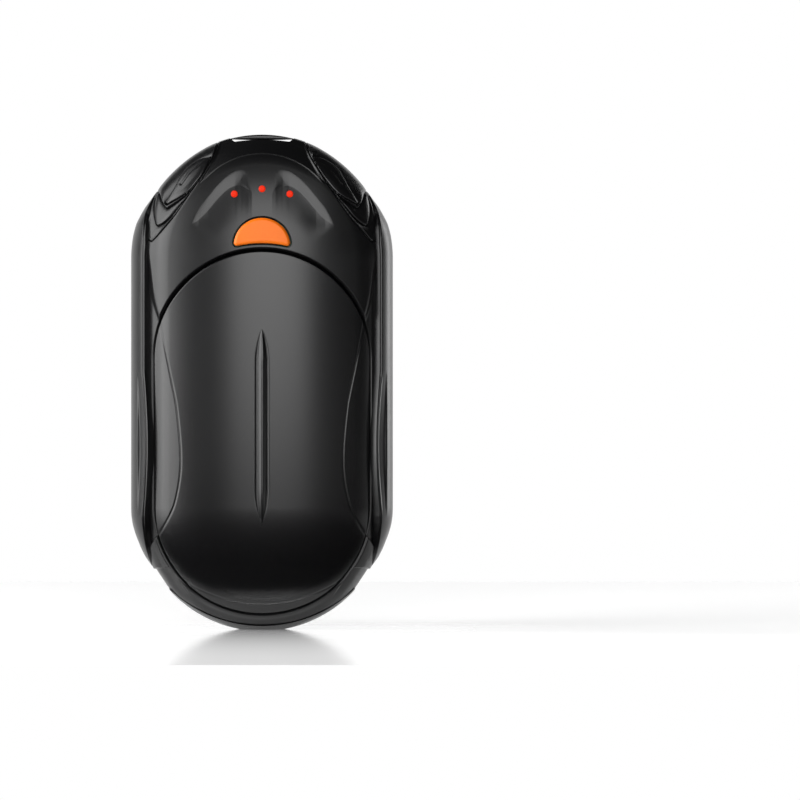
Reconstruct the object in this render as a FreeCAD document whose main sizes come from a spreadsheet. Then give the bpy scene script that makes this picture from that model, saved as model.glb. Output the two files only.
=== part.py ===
import FreeCAD, Part
import math
import os
import Sketcher
from FreeCAD import Placement, Rotation, Vector

# A rechargeable hand warmer: a crowned pebble case in two shells, a heat panel on each face, two side grips,
# a lanyard bar, a press button with three lights, and a cover over the charging socket at the bottom end.
# Millimetres. X is across, the front faces -Y, Z is up, and the unit stands on its flat foot at Z = 0.

doc = FreeCAD.newDocument("HandWarmer")

# Driving dimensions
sizes = {
    # case: the outline is a stadium, and the section is a lens of crown arcs and edge arcs
    "case_width": 50.0,
    "case_height": 99.0,
    "crown_radius": 55.0,
    "edge_radius": 9.9,
    "case_wall": 2.4,
    "foot_cut": 0.4,
    "parting_gap": 0.04,
    "bond_gap": 0.05,
    "overrun": 2.0,
    # heat panels
    "panel_margin": 2.9,
    "panel_drop": 20.4,
    "panel_recess": 0.5,
    "panel_thick": 1.0,
    "panel_gap": 0.25,
    "rib_radius": 2.1,
    "rib_proud": 0.5,
    "rib_foot": 3.8,
    "rib_head": 6.0,
    # side grips
    "grip_proud": 1.2,
    "grip_edge_radius": 9.25,
    "grip_bed": 1.0,
    "grip_gap": 0.1,
    "grip_top_drop": 16.4,
    "grip_shoulder_drop": 22.5,
    "grip_hip_drop": 1.1,
    "grip_bottom_drop": 9.6,
    "grip_root_rise": 7.9,
    "grip_root_drop": 5.0,
    "grip_depth": 17.0,
    "grip_end_depth": 7.0,
    "grip_taper": 14.0,
    # forehead relief
    "brow_depth": 0.6,
    "brow_tail_x": 14.5,
    "brow_tail_drop": 18.0,
    "brow_peak_x": 5.6,
    "brow_peak_drop": 7.1,
    "brow_nose_x": 2.4,
    "brow_nose_drop": 8.2,
    "brow_foot_drop": 15.0,
    "brow_round": 2.8,
    "brow_sweep": 30.0,
    "crest_depth": 0.5,
    "crest_radius": 15.5,
    "crest_drop": 19.1,
    "crest_reach": 12.5,
    "crest_root_x": 10.5,
    "crest_root_drop": 3.0,
    "scale_step": 0.2,
    "scale_rim": 3.0,
    "scale1_root_x": 8.8,
    "scale1_root_drop": 1.8,
    "scale1_tip_x": 22.6,
    "scale1_tip_drop": 21.1,
    "scale1_sweep": 59.0,
    "scale2_root_x": 15.1,
    "scale2_root_drop": 12.6,
    "scale2_tip_x": 21.4,
    "scale2_tip_drop": 18.3,
    "scale2_sweep": 24.0,
    "scale3_root_x": 15.0,
    "scale3_root_drop": 11.0,
    "scale3_tip_x": 19.4,
    "scale3_tip_drop": 14.5,
    "scale3_sweep": 12.0,
    # lanyard bar and its slot
    "slot_width": 12.8,
    "slot_drop": 2.8,
    "bar_drop": 0.1,
    "bar_thick": 1.0,
    "bar_depth": 2.2,
    "bar_length": 16.4,
    "bar_gap": 0.05,
    # power button, switch and lights
    "button_radius": 5.6,
    "button_drop": 22.8,
    "button_foot_gap": 1.1,
    "button_proud": 0.4,
    "button_gap": 0.3,
    "button_flange": 0.8,
    "flange_face": 9.1,
    "flange_thick": 0.9,
    "button_travel": 0.5,
    "post_radius": 1.5,
    "switch_drop": 19.6,
    "switch_side": 6.0,
    "switch_height": 2.5,
    "plunger_radius": 1.7,
    "plunger_proud": 1.0,
    "plunger_gap": 0.05,
    "light_radius": 0.65,
    "light_flange": 1.1,
    "light_flange_length": 2.0,
    "light_gap": 0.06,
    "light_spread": 5.5,
    "light_side_drop": 12.4,
    "light_mid_drop": 11.4,
    "led_side": 1.6,
    "led_height": 0.8,
    # boards and their screws
    "board_face": 4.0,
    "board_thick": 1.0,
    "board_width": 23.6,
    "board_low_drop": 27.6,
    "board_high_drop": 8.4,
    "board_post_radius": 1.8,
    "board_post_x": 9.4,
    "board_post_low_drop": 25.2,
    "board_post_high_drop": 11.0,
    "board_screw_radius": 0.8,
    "board_screw_head": 1.5,
    "board_screw_head_thick": 1.0,
    "board_screw_length": 3.2,
    "screw_gap": 0.04,
    "port_board_width": 17.0,
    "port_board_low": 4.8,
    "port_board_high": 12.6,
    "port_post_x": 6.4,
    "port_post_z": 10.4,
    # charging socket
    "socket_width": 8.94,
    "socket_height": 3.2,
    "socket_length": 7.3,
    "socket_corner": 1.45,
    "socket_wall": 0.3,
    "socket_depth": 6.2,
    "socket_gap": 0.1,
    "tongue_width": 6.7,
    "tongue_thick": 0.7,
    "tongue_length": 4.5,
    # port cover on its seat at the bottom end
    "seat_height": 0.9,
    "seat_flat": 2.1,
    "seat_wall": 1.8,
    "cover_tip_trim": 1.25,
    "cover_tail_trim": 1.45,
    "cover_gap": 0.1,
    "bead_inset": 0.5,
    "bead_radius": 0.6,
    "bead_length": 3.2,
    "hinge_room": 1.0,
    "hinge_room_length": 4.6,
    "plug_width": 10.0,
    "plug_height": 4.4,
    "plug_rise": 0.8,
    "plug_gap": 0.55,
    "recess_depth": 1.0,
    # cells, frame, foam and heaters
    "cell_drop": 30.4,
    "cell_thick": 7.6,
    "cell_low": 14.6,
    "cell_round": 1.2,
    "tape_thick": 0.2,
    "tape_margin": 2.0,
    "frame_wall": 1.2,
    "frame_gap": 0.2,
    "frame_depth": 8.0,
    "ear_thick": 1.2,
    "ear_half": 2.4,
    "window_margin": 1.7,
    "panel_ledge": 1.4,
    "film_gap": 0.3,
    "film_thick": 0.2,
    "sensor_radius": 0.8,
    "sensor_length": 3.0,
    "sensor_z": 42.0,
    "lead_radius": 0.55,
    "lead_x": 3.0,
    "lead_drop": 25.6,
    "charge_lead_radius": 0.5,
    "lead_channel": 1.2,
    "charge_lead_low": 12.2,
    "charge_lead_drop": 27.6,
    "charge_low_end_x": 7.4,
    "charge_low_end_z": 8.0,
    "charge_high_end_x": 10.8,
    "charge_high_end_drop": 22.0,
    "charge_bend": 2.0,
    # case screws, their bosses and the seal
    "boss_inset": 5.4,
    "boss_low": 21.5,
    "boss_high_drop": 45.0,
    "boss_radius": 2.5,
    "case_screw_radius": 1.0,
    "case_screw_head": 1.8,
    "case_screw_head_thick": 1.2,
    "case_screw_seat": 3.4,
    "case_screw_length": 8.0,
    "head_room": 0.2,
    "cavity_drop": 4.6,
    "seal_inset": 0.3,
    "seal_width": 0.5,
    "seal_height": 1.0,
    "seal_gap": 0.03,
}

sheet = doc.addObject("Spreadsheet::Sheet", "Sheet")
for row, (alias, number) in enumerate(sizes.items(), start=1):
    sheet.set(f"A{row}", alias)
    sheet.set(f"B{row}", str(number))
    sheet.setAlias(f"B{row}", alias)
doc.recompute()


class Size:
    """A length together with the sheet formula that gives it."""

    def __init__(self, value, formula):
        self.value = value
        self.formula = formula

    def __add__(self, other):
        other = as_size(other)
        return Size(self.value + other.value, f"({self.formula} + {other.formula})")

    def __sub__(self, other):
        other = as_size(other)
        return Size(self.value - other.value, f"({self.formula} - {other.formula})")

    def __rsub__(self, other):
        return as_size(other) - self

    def __mul__(self, other):
        other = as_size(other)
        return Size(self.value * other.value, f"({self.formula} * {other.formula})")

    def __truediv__(self, other):
        other = as_size(other)
        return Size(self.value / other.value, f"({self.formula} / {other.formula})")

    def __neg__(self):
        return Size(-self.value, f"(0 - {self.formula})")

    __radd__ = __add__
    __rmul__ = __mul__


def as_size(thing):
    if isinstance(thing, Size):
        return thing
    return Size(float(thing), f"({float(thing)})")


def root(area):
    return Size(math.sqrt(area.value), f"sqrt({area.formula})")


def size(alias):
    return Size(float(sheet.get(alias)), f"Sheet.{alias}")


def from_top(alias):
    """A height that is given by its distance below the top of the case."""
    return size("case_height") - size(alias)


def bind(thing, prop, length):
    thing.setExpression(prop, as_size(length).formula)


def place(thing, x=0, y=0, z=0):
    for axis, length in zip("xyz", (x, y, z)):
        bind(thing, f"Placement.Base.{axis}", length)


# Sketches are closed outlines. Each point is (across, up, arc), where arc is None for a straight run to the
# next point, or a (radius, turn) pair: turn +1 keeps the arc's centre on the left of the way along it.
def draw(sketch, points):
    runs = []
    for here, after in zip(points, points[1:] + points[:1]):
        start = Vector(as_size(here[0]).value, as_size(here[1]).value, 0)
        end = Vector(as_size(after[0]).value, as_size(after[1]).value, 0)
        if here[2] is None:
            runs.append((sketch.addGeometry(Part.LineSegment(start, end)), 1, 2))
            continue
        radius, turn = here[2]
        chord = end - start
        rise = math.sqrt(max(radius.value**2 - chord.Length**2 / 4, 0))
        side = Vector(-chord.y, chord.x, 0).normalize() * turn
        centre = (start + end) / 2 + side * rise
        first, last = (start, end) if turn > 0 else (end, start)
        angles = [math.atan2(point.y - centre.y, point.x - centre.x) for point in (first, last)]
        circle = Part.Circle(centre, Vector(0, 0, 1), radius.value)
        index = sketch.addGeometry(Part.ArcOfCircle(circle, angles[0], angles[1]))
        runs.append((index, 1, 2) if turn > 0 else (index, 2, 1))
    for run, after in zip(runs, runs[1:] + runs[:1]):
        sketch.addConstraint(Sketcher.Constraint("Coincident", run[0], run[2], after[0], after[1]))
    for run, point in zip(runs, points):
        for kind, length in (("DistanceX", as_size(point[0])), ("DistanceY", as_size(point[1]))):
            rule = Sketcher.Constraint(kind, -1, 1, run[0], run[1], length.value)
            bind(sketch, f"Constraints[{sketch.addConstraint(rule)}]", length)
        if point[2] is not None:
            rule = Sketcher.Constraint("Radius", run[0], point[2][0].value)
            bind(sketch, f"Constraints[{sketch.addConstraint(rule)}]", point[2][0])


def flat_sketch(name, points, z=0):
    sketch = doc.addObject("Sketcher::SketchObject", name)
    place(sketch, 0, 0, z)
    draw(sketch, points)
    return sketch


def upright_sketch(name, points, y=0):
    sketch = doc.addObject("Sketcher::SketchObject", name)
    sketch.Placement = Placement(Vector(), Rotation(Vector(1, 0, 0), 90))
    bind(sketch, "Placement.Base.y", y)
    draw(sketch, points)
    return sketch


def extrude(name, sketch, way, length):
    solid = doc.addObject("Part::Extrusion", name)
    solid.Base = sketch
    solid.DirMode = "Custom"
    solid.Dir = way
    solid.Solid = True
    bind(solid, "LengthFwd", length)
    return solid


def prism(name, points, front, back):
    """An outline seen from the front, pulled from y = front to y = back."""
    return extrude(name, upright_sketch(name + "_outline", points, front), Vector(0, 1, 0), back - front)


def turned(name, sketch, way, z=0, y=0, angle=360):
    solid = doc.addObject("Part::Revolution", name)
    solid.Source = sketch
    solid.Axis = way
    solid.Angle = angle
    solid.Solid = True
    bind(solid, "Base.y", y)
    bind(solid, "Base.z", z)
    return solid


def box(name, x, y, z):
    """A block between pairs of limits along each axis."""
    solid = doc.addObject("Part::Box", name)
    for prop, limits in zip(("Length", "Width", "Height"), (x, y, z)):
        bind(solid, prop, as_size(limits[1]) - limits[0])
    place(solid, x[0], y[0], z[0])
    return solid


def rod(name, radius, x, z, front, back):
    """A round bar along Y, between y = front and y = back."""
    solid = doc.addObject("Part::Cylinder", name)
    solid.Placement = Placement(Vector(), Rotation(Vector(1, 0, 0), -90))
    bind(solid, "Radius", radius)
    bind(solid, "Height", as_size(back) - front)
    place(solid, x, front, z)
    return solid


def fuse(name, *solids):
    whole = doc.addObject("Part::MultiFuse", name)
    whole.Shapes = list(solids)
    return whole


def common(name, *solids):
    shared = doc.addObject("Part::MultiCommon", name)
    shared.Shapes = list(solids)
    return shared


def cut(name, base, *tools):
    for number, tool in enumerate(tools, start=1):
        rest = doc.addObject("Part::Cut", name if number == len(tools) else f"{name}_cut{number}")
        rest.Base = base
        rest.Tool = tool
        base = rest
    return base


def several(name, solids):
    """Loose solids that act as one tool or share one node."""
    whole = doc.addObject("Part::Compound", name)
    whole.Links = solids
    return whole


nodes = []


def node(label, solid):
    solid.Label = label
    nodes.append(solid)
    return solid


# Case form: the lens section runs straight between the two end centres and is turned half round at each end
half_width = size("case_width") / 2
low_centre = half_width - size("foot_cut")
high_centre = size("case_height") - half_width
crown_radius = size("crown_radius")
edge_radius = size("edge_radius")
crown_centre = root(
    (crown_radius - edge_radius) * (crown_radius - edge_radius)
    - (half_width - edge_radius) * (half_width - edge_radius)
)
half_depth = crown_radius - crown_centre
overrun = size("overrun")
clear_of_case = half_depth + size("grip_proud") + overrun


def lens(inset, width, edge):
    """Half of the lens section, from its front crown round its edge to its rear crown."""
    share = (crown_radius - inset) / (crown_radius - edge)
    rise = root((crown_radius - edge) * (crown_radius - edge) - (width - edge) * (width - edge))
    crown = (crown_radius - inset, 1)
    roll = (edge - inset, 1)
    shoulder_x = (width - edge) * share
    shoulder_y = rise * share - rise
    tip = crown_radius - rise - inset
    return [
        (0, -tip, crown),
        (shoulder_x, -shoulder_y, roll),
        (width - inset, 0, roll),
        (shoulder_x, shoulder_y, crown),
        (0, tip, None),
    ]


def whole_lens(inset, width, edge):
    right = lens(inset, width, edge)
    left = [(-x, -y, arc) for x, y, arc in right[:4]]
    return right[:4] + left


def pebble(name, inset):
    """The case form, moved inwards by the inset all over."""
    inset = as_size(inset)
    section = flat_sketch(name + "_section", whole_lens(inset, half_width, edge_radius), low_centre)
    barrel = extrude(name + "_barrel", section, Vector(0, 0, 1), high_centre - low_centre)
    ends = []
    for place_name, centre, way in (("low", low_centre, 1), ("high", high_centre, -1)):
        profile = flat_sketch(f"{name}_{place_name}_profile", lens(inset, half_width, edge_radius), centre)
        ends.append(turned(f"{name}_{place_name}_end", profile, Vector(0, way, 0), centre, 0, 180))
    return fuse(name, barrel, *ends)


def stadium(half, low, high):
    """An outline of two half rounds joined by straight sides."""
    quarter = (half, 1)
    return [
        (-half, low, quarter),
        (0, low - half, quarter),
        (half, low, None),
        (half, high, quarter),
        (0, high + half, quarter),
        (-half, high, None),
    ]


def tomb(radius, centre, top):
    """An outline that is round below its centre and square above it."""
    quarter = (radius, 1)
    return [
        (-radius, centre, quarter),
        (0, centre - radius, quarter),
        (radius, centre, None),
        (radius, top, None),
        (-radius, top, None),
    ]


def mirror_outline(points):
    """The same outline on the other side of x = 0, still drawn the same way round."""
    flipped = [(-x, z) for x, z, arc in reversed(points)]
    arcs = [arc for x, z, arc in reversed(points)]
    arcs = arcs[1:] + arcs[:1]
    return [(x, z, arc) for (x, z), arc in zip(flipped, arcs)]


panel_back = size("panel_recess") + size("panel_thick")
panel_seat = panel_back + size("bond_gap")
film_back = panel_seat + size("film_thick")
foam_face = film_back + size("bond_gap")

skin = pebble("skin", 0)
panel_face_form = pebble("panel_face_form", size("panel_recess"))
panel_back_form = pebble("panel_back_form", panel_back)
panel_seat_form = pebble("panel_seat_form", panel_seat)
film_back_form = pebble("film_back_form", film_back)
foam_form = pebble("foam_form", foam_face)
inner_form = pebble("inner_form", size("case_wall"))
grip_bed_form = pebble("grip_bed_form", size("grip_bed"))
grip_back_form = pebble("grip_back_form", size("grip_bed") - size("bond_gap"))
brow_form = pebble("brow_form", size("brow_depth"))
crest_form = pebble("crest_form", size("crest_depth"))
scale_forms = [pebble(f"scale{number}_form", size("scale_step") * number) for number in (1, 2, 3)]
button_form = pebble("button_form", -size("button_proud"))

front_edge = -clear_of_case
rear_edge = clear_of_case
parting = size("parting_gap") / 2
side_edge = half_width + size("grip_proud") + overrun
top_edge = size("case_height") + overrun

# Cavity inside both shells, with the seat wall over the port cover and the wall under the lanyard slot
seat_radius = half_width + size("seat_flat")
seat_centre = size("seat_height") + seat_radius
cavity_radius = seat_radius - size("seat_wall")
cavity_roof = from_top("cavity_drop")
cavity_limit = prism("cavity_limit", tomb(cavity_radius, seat_centre, cavity_roof), front_edge, rear_edge)
cavity = common("cavity", inner_form, cavity_limit)

# Panel seats and the windows behind the panels, one on each face. The cells, their frame and the charging
# leads share the width between the case screws.
panel_half = half_width - size("panel_margin")
panel_high = high_centre - size("panel_drop")
boss_x = half_width - size("boss_inset")
frame_side = boss_x - size("boss_radius") - size("lead_channel")
frame_half = frame_side - size("frame_wall")
cell_half = frame_half - size("frame_gap")
cell_low = size("cell_low")
cell_high = from_top("cell_drop")
window_half = cell_half + size("window_margin")
window_low = cell_low - size("window_margin")
window_high = cell_high + size("window_margin")
faces = {"front": (front_edge, -overrun), "rear": (overrun, rear_edge)}
seat_cuts = {}
windows = {}
for face, (near, far) in faces.items():
    well = prism(f"{face}_panel_well", stadium(panel_half, low_centre, panel_high), near, far)
    seat_cuts[face] = cut(f"{face}_panel_seat", well, panel_seat_form)
    opening = box(f"{face}_opening", (-window_half, window_half), (near, far), (window_low, window_high))
    inside_ledge = stadium(panel_half - size("panel_ledge"), low_centre, panel_high)
    windows[face] = common(f"{face}_window", opening, prism(f"{face}_ledge", inside_ledge, near, far))


# Side grips: a wider lens, cut to the outline that the grip shows from the front, bedded in the case's flanks
def grip_outline(gap):
    """Right-hand grip, drawn counter-clockwise from the foot of its inner edge."""
    inner = panel_half + size("grip_gap") - gap
    outer = half_width + size("grip_proud") + gap
    root_low = low_centre - size("grip_root_drop") - gap
    root_high = panel_high + size("grip_root_rise") + gap
    bottom = low_centre - size("grip_bottom_drop") - gap
    top = from_top("grip_top_drop") + gap
    tip_low = root(half_width * half_width - (low_centre - bottom) * (low_centre - bottom))
    tip_high = root(half_width * half_width - (top - high_centre) * (top - high_centre))
    hip = low_centre - size("grip_hip_drop")
    shoulder = from_top("grip_shoulder_drop")
    hip_run = hip - bottom
    hip_step = outer - tip_low
    hip_radius = (hip_run * hip_run + hip_step * hip_step) / (hip_step * 2)
    shoulder_run = top - shoulder
    shoulder_step = outer - tip_high
    shoulder_radius = (shoulder_run * shoulder_run + shoulder_step * shoulder_step) / (shoulder_step * 2)
    low_x = root(inner * inner - (low_centre - root_low) * (low_centre - root_low))
    high_x = root(inner * inner - (root_high - panel_high) * (root_high - panel_high))
    return [
        (low_x, root_low, None),
        (tip_low, bottom, (hip_radius, 1)),
        (outer, hip, None),
        (outer, shoulder, (shoulder_radius, 1)),
        (tip_high, top, None),
        (high_x, root_high, (inner, -1)),
        (inner, panel_high, None),
        (inner, low_centre, (inner, -1)),
    ]


grip_half = half_width + size("grip_proud")
grip_form = pebble("grip_form", -size("grip_proud"))
grip_section = flat_sketch("grip_section", whole_lens(as_size(0), grip_half, size("grip_edge_radius")))
grip_lens = extrude("grip_lens", grip_section, Vector(0, 0, 1), top_edge)
taper_low = low_centre - size("grip_bottom_drop") + size("grip_taper")
taper_high = from_top("grip_top_drop") - size("grip_taper")
grip_deep = size("grip_depth") / 2
grip_slim = size("grip_end_depth") / 2


def grip_profile(name, gap):
    """The grip as seen from the side: full depth along its middle and slimmer towards both ends."""
    low = low_centre - size("grip_bottom_drop") - gap
    high = from_top("grip_top_drop") + gap
    points = [
        (-grip_slim - gap, low, None),
        (grip_slim + gap, low, None),
        (grip_deep + gap, taper_low, None),
        (grip_deep + gap, taper_high, None),
        (grip_slim + gap, high, None),
        (-grip_slim - gap, high, None),
        (-grip_deep - gap, taper_high, None),
        (-grip_deep - gap, taper_low, None),
    ]
    sketch = doc.addObject("Sketcher::SketchObject", name + "_outline")
    sketch.Placement = Placement(Vector(), Rotation(Vector(1, 1, 1), 120))
    bind(sketch, "Placement.Base.x", -side_edge)
    draw(sketch, points)
    return extrude(name, sketch, Vector(1, 0, 0), side_edge * 2)


grip_side_form = grip_profile("grip_side_form", as_size(0))
grip_side_room = grip_profile("grip_side_room", size("grip_gap"))
grip_pockets = []
for side in ("left", "right"):
    turn = mirror_outline if side == "left" else list
    blank = prism(f"{side}_grip_blank", turn(grip_outline(as_size(0))), front_edge, rear_edge)
    strip = common(f"{side}_grip_strip", blank, grip_lens, grip_form, grip_side_form)
    node(f"{side}_side_grip", cut(f"{side}_grip", strip, grip_back_form))
    well = prism(f"{side}_grip_well", turn(grip_outline(size("grip_gap"))), front_edge, rear_edge)
    room = common(f"{side}_grip_room", well, grip_side_room)
    grip_pockets.append(cut(f"{side}_grip_pocket", room, grip_bed_form))

# Port cover: the sliver of the bottom end below the seat, with a plug for the socket and a bead to swing on
cover_radius = seat_radius + size("cover_gap")
cover_power = cover_radius * cover_radius - seat_centre * seat_centre
case_power = half_width * half_width - low_centre * low_centre
cusp_z = (cover_power - case_power) / ((low_centre - seat_centre) * 2)
cusp_x = root(half_width * half_width - (low_centre - cusp_z) * (low_centre - cusp_z))
cover_reach = cusp_x - size("cover_tip_trim")
cover_tail = cusp_x - size("cover_tail_trim")
bead_x = cover_tail - size("bead_inset")
bead_reach = half_width - size("bead_radius") - size("bond_gap")
bead_z = low_centre - root(bead_reach * bead_reach - bead_x * bead_x)
bay_top = low_centre / 2
cover_side = half_depth + overrun


def below_seat(name, gap, tail, reach):
    block = box(name + "_block", (-tail, reach), (-cover_side, cover_side), (-overrun, bay_top))
    opening = tomb(seat_radius + gap, seat_centre, seat_centre + overrun)
    arch = prism(name + "_arch", opening, front_edge, rear_edge)
    return cut(name, block, arch)


def oval_post(name, width, height, low, high):
    """An upright post with round ends, on the middle of the bottom end."""
    half = width / 2
    end = height / 2
    flat = half - end
    quarter = (end, 1)
    points = [
        (-flat, -end, None),
        (flat, -end, quarter),
        (half, 0, quarter),
        (flat, end, None),
        (-flat, end, quarter),
        (-half, 0, quarter),
    ]
    return extrude(name, flat_sketch(name + "_outline", points, low), Vector(0, 0, 1), high - low)


seat_height = size("seat_height")
recess_floor = seat_height + size("recess_depth")
plug_top = seat_height - size("cover_gap") + size("plug_rise")
cover_sliver = common(
    "cover_sliver", skin, below_seat("cover_space", size("cover_gap"), cover_tail, cover_reach)
)
cover_plug = oval_post("cover_plug", size("plug_width"), size("plug_height"), seat_height / 2, plug_top)
bead_half = size("bead_length") / 2
bead = rod("bead", size("bead_radius"), -bead_x, bead_z, -bead_half, bead_half)
cover_raw = fuse("cover_raw", cover_sliver, cover_plug, common("cover_bead", bead, skin))
under_foot = box("under_foot", (-half_width, half_width), (-cover_side, cover_side), (-overrun, as_size(0)))
node("port_cover", cut("cover", cover_raw, under_foot))

bay_tail = cover_tail + size("cover_gap") / 2
cover_bay = below_seat("cover_bay", 0, bay_tail, cover_reach + size("cover_gap"))
hinge_half = size("hinge_room_length") / 2
bead_groove = rod("bead_groove", size("hinge_room"), -bead_x, bead_z, -hinge_half, hinge_half)
recess_width = size("plug_width") + size("plug_gap") * 2
recess_height = size("plug_height") + size("plug_gap") * 2
socket_recess = oval_post("socket_recess", recess_width, recess_height, -overrun, recess_floor)
socket_door = box(
    "socket_door",
    (-size("socket_width") / 2 - size("socket_gap"), size("socket_width") / 2 + size("socket_gap")),
    (-size("socket_height") / 2 - size("socket_gap"), size("socket_height") / 2 + size("socket_gap")),
    (seat_height, seat_height + size("seat_wall") + overrun),
)

# Lanyard bar across the slot in the top end
slot_half = size("slot_width") / 2
slot_span = (from_top("slot_drop"), top_edge)
lanyard_slot = box("lanyard_slot", (-slot_half, slot_half), (front_edge, rear_edge), slot_span)


def bar_outline(gap):
    outer = half_width - size("bar_drop") + gap
    inner = outer - size("bar_thick") - gap * 2
    end = size("bar_length") / 2 + gap
    outer_z = high_centre + root(outer * outer - end * end)
    inner_z = high_centre + root(inner * inner - end * end)
    return [
        (end, outer_z, (outer, 1)),
        (-end, outer_z, None),
        (-end, inner_z, (inner, -1)),
        (end, inner_z, None),
    ]


bar_half = size("bar_depth") / 2
bar_room = bar_half + size("bar_gap")
node("lanyard_bar", prism("lanyard_bar", bar_outline(as_size(0)), -bar_half, bar_half))
bar_pocket = prism("bar_pocket", bar_outline(size("bar_gap")), -bar_room, bar_room)


# Power button: a half-moon cap with a flange behind the forehead and a post that meets the switch
def button_outline(grow):
    cap = size("button_radius") + grow
    low = panel_half + size("button_foot_gap") - grow
    cap_z = from_top("button_drop")
    corner_z = (low * low - cap * cap + cap_z * cap_z - panel_high * panel_high) / ((cap_z - panel_high) * 2)
    corner_x = root(cap * cap - (corner_z - cap_z) * (corner_z - cap_z))
    return [
        (corner_x, corner_z, (cap, 1)),
        (0, cap_z + cap, (cap, 1)),
        (-corner_x, corner_z, (low, -1)),
    ]


flange_front = -size("flange_face")
flange_back = flange_front + size("flange_thick")
board_front = -size("board_face")
switch_front = board_front - size("switch_height")
plunger_front = switch_front - size("plunger_proud")
button_cap = common(
    "button_cap", prism("button_stem", button_outline(as_size(0)), front_edge, flange_back), button_form
)
button_flange = prism("button_flange", button_outline(size("button_flange")), flange_front, flange_back)
button_post = rod("button_post", size("post_radius"), 0, from_top("switch_drop"), flange_back, plunger_front)
node("power_button", fuse("button", button_cap, button_flange, button_post))
button_hole = prism("button_hole", button_outline(size("button_gap")), front_edge, flange_front)

# Switch on the main board, with its plunger in a bore
switch_half = size("switch_side") / 2
plunger_back = switch_front + size("button_travel") + size("plunger_proud") / 2
switch_bore = rod(
    "switch_bore",
    size("plunger_radius") + size("plunger_gap"),
    0,
    from_top("switch_drop"),
    switch_front - overrun,
    plunger_back + size("button_travel") + size("plunger_gap"),
)
switch_block = box(
    "switch_block",
    (-switch_half, switch_half),
    (switch_front, board_front),
    (from_top("switch_drop") - switch_half, from_top("switch_drop") + switch_half),
)
node("tact_switch", cut("switch", switch_block, switch_bore))
plunger = rod("plunger", size("plunger_radius"), 0, from_top("switch_drop"), plunger_front, plunger_back)
node("switch_plunger", plunger)

# Three lights: an LED on the board and a light pipe that carries it to the forehead
light_holes = []
lights = {
    "left": (-size("light_spread"), from_top("light_side_drop")),
    "centre": (as_size(0), from_top("light_mid_drop")),
    "right": (size("light_spread"), from_top("light_side_drop")),
}
led_half = size("led_side") / 2
led_front = board_front - size("led_height")
pipe_back = led_front - size("bond_gap")
for spot, (x, z) in lights.items():
    led_span = ((x - led_half, x + led_half), (z - led_half, z + led_half))
    node(f"led_{spot}", box(f"led_{spot}", led_span[0], (led_front, board_front), led_span[1]))
    stem = rod(f"light_{spot}_stem", size("light_radius"), x, z, front_edge, pipe_back)
    collar = rod(
        f"light_{spot}_collar", size("light_flange"), x, z, pipe_back - size("light_flange_length"), pipe_back
    )
    face_form = skin if spot == "centre" else brow_form
    node(f"light_pipe_{spot}", fuse(f"light_{spot}", common(f"light_{spot}_flush", stem, face_form), collar))
    hole_radius = size("light_radius") + size("light_gap")
    light_holes.append(rod(f"light_{spot}_hole", hole_radius, x, z, front_edge, pipe_back))

# Boards, each screwed to posts on a shell
board_half = size("board_width") / 2
board_rear = board_front + size("board_thick")
port_board_front = size("socket_height") / 2 + size("bond_gap")
port_board_rear = port_board_front + size("board_thick")
main_spots = [
    (-size("board_post_x"), from_top("board_post_low_drop")),
    (size("board_post_x"), from_top("board_post_low_drop")),
    (-size("board_post_x"), from_top("board_post_high_drop")),
    (size("board_post_x"), from_top("board_post_high_drop")),
]
port_spots = [(-size("port_post_x"), size("port_post_z")), (size("port_post_x"), size("port_post_z"))]
board_hole = size("board_screw_radius") + size("screw_gap")
board_screws = []
main_posts = []
main_holes = []
port_posts = []
port_holes = []
for number, (x, z) in enumerate(main_spots, start=1):
    tip = board_rear - size("board_screw_length")
    shank = rod(f"main_shank{number}", size("board_screw_radius"), x, z, tip, board_rear)
    head_rear = board_rear + size("board_screw_head_thick")
    head = rod(f"main_head{number}", size("board_screw_head"), x, z, board_rear, head_rear)
    board_screws.append(fuse(f"main_screw{number}", shank, head))
    main_posts.append(rod(f"main_post{number}", size("board_post_radius"), x, z, front_edge, board_front))
    hole_end = tip - size("screw_gap")
    main_holes.append(rod(f"main_hole{number}", board_hole, x, z, hole_end, board_rear + overrun))
for number, (x, z) in enumerate(port_spots, start=1):
    tip = port_board_front + size("board_screw_length")
    shank = rod(f"port_shank{number}", size("board_screw_radius"), x, z, port_board_front, tip)
    head_front = port_board_front - size("board_screw_head_thick")
    head = rod(f"port_head{number}", size("board_screw_head"), x, z, head_front, port_board_front)
    board_screws.append(fuse(f"port_screw{number}", shank, head))
    port_posts.append(rod(f"port_post{number}", size("board_post_radius"), x, z, port_board_rear, rear_edge))
    hole_end = tip + size("screw_gap")
    port_holes.append(rod(f"port_hole{number}", board_hole, x, z, port_board_front - overrun, hole_end))
node("board_screws", several("board_screws", board_screws))
main_blank = box(
    "main_blank",
    (-board_half, board_half),
    (board_front, board_rear),
    (from_top("board_low_drop"), from_top("board_high_drop")),
)
node("main_board", cut("main_board_drilled", main_blank, several("main_drill", main_holes)))
port_half = size("port_board_width") / 2
port_blank = box(
    "port_blank",
    (-port_half, port_half),
    (port_board_front, port_board_rear),
    (size("port_board_low"), size("port_board_high")),
)
node("port_board", cut("port_board_drilled", port_blank, several("port_drill", port_holes)))


# Charging socket: a drawn steel shell with a closed back and a contact tongue
def socket_outline(inset):
    x = size("socket_width") / 2 - inset
    y = size("socket_height") / 2 - inset
    corner = size("socket_corner") - inset
    arc = (corner, 1)
    return [
        (corner - x, -y, None),
        (x - corner, -y, arc),
        (x, corner - y, None),
        (x, y - corner, arc),
        (x - corner, y, None),
        (corner - x, y, arc),
        (-x, y - corner, None),
        (-x, corner - y, arc),
    ]


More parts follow.
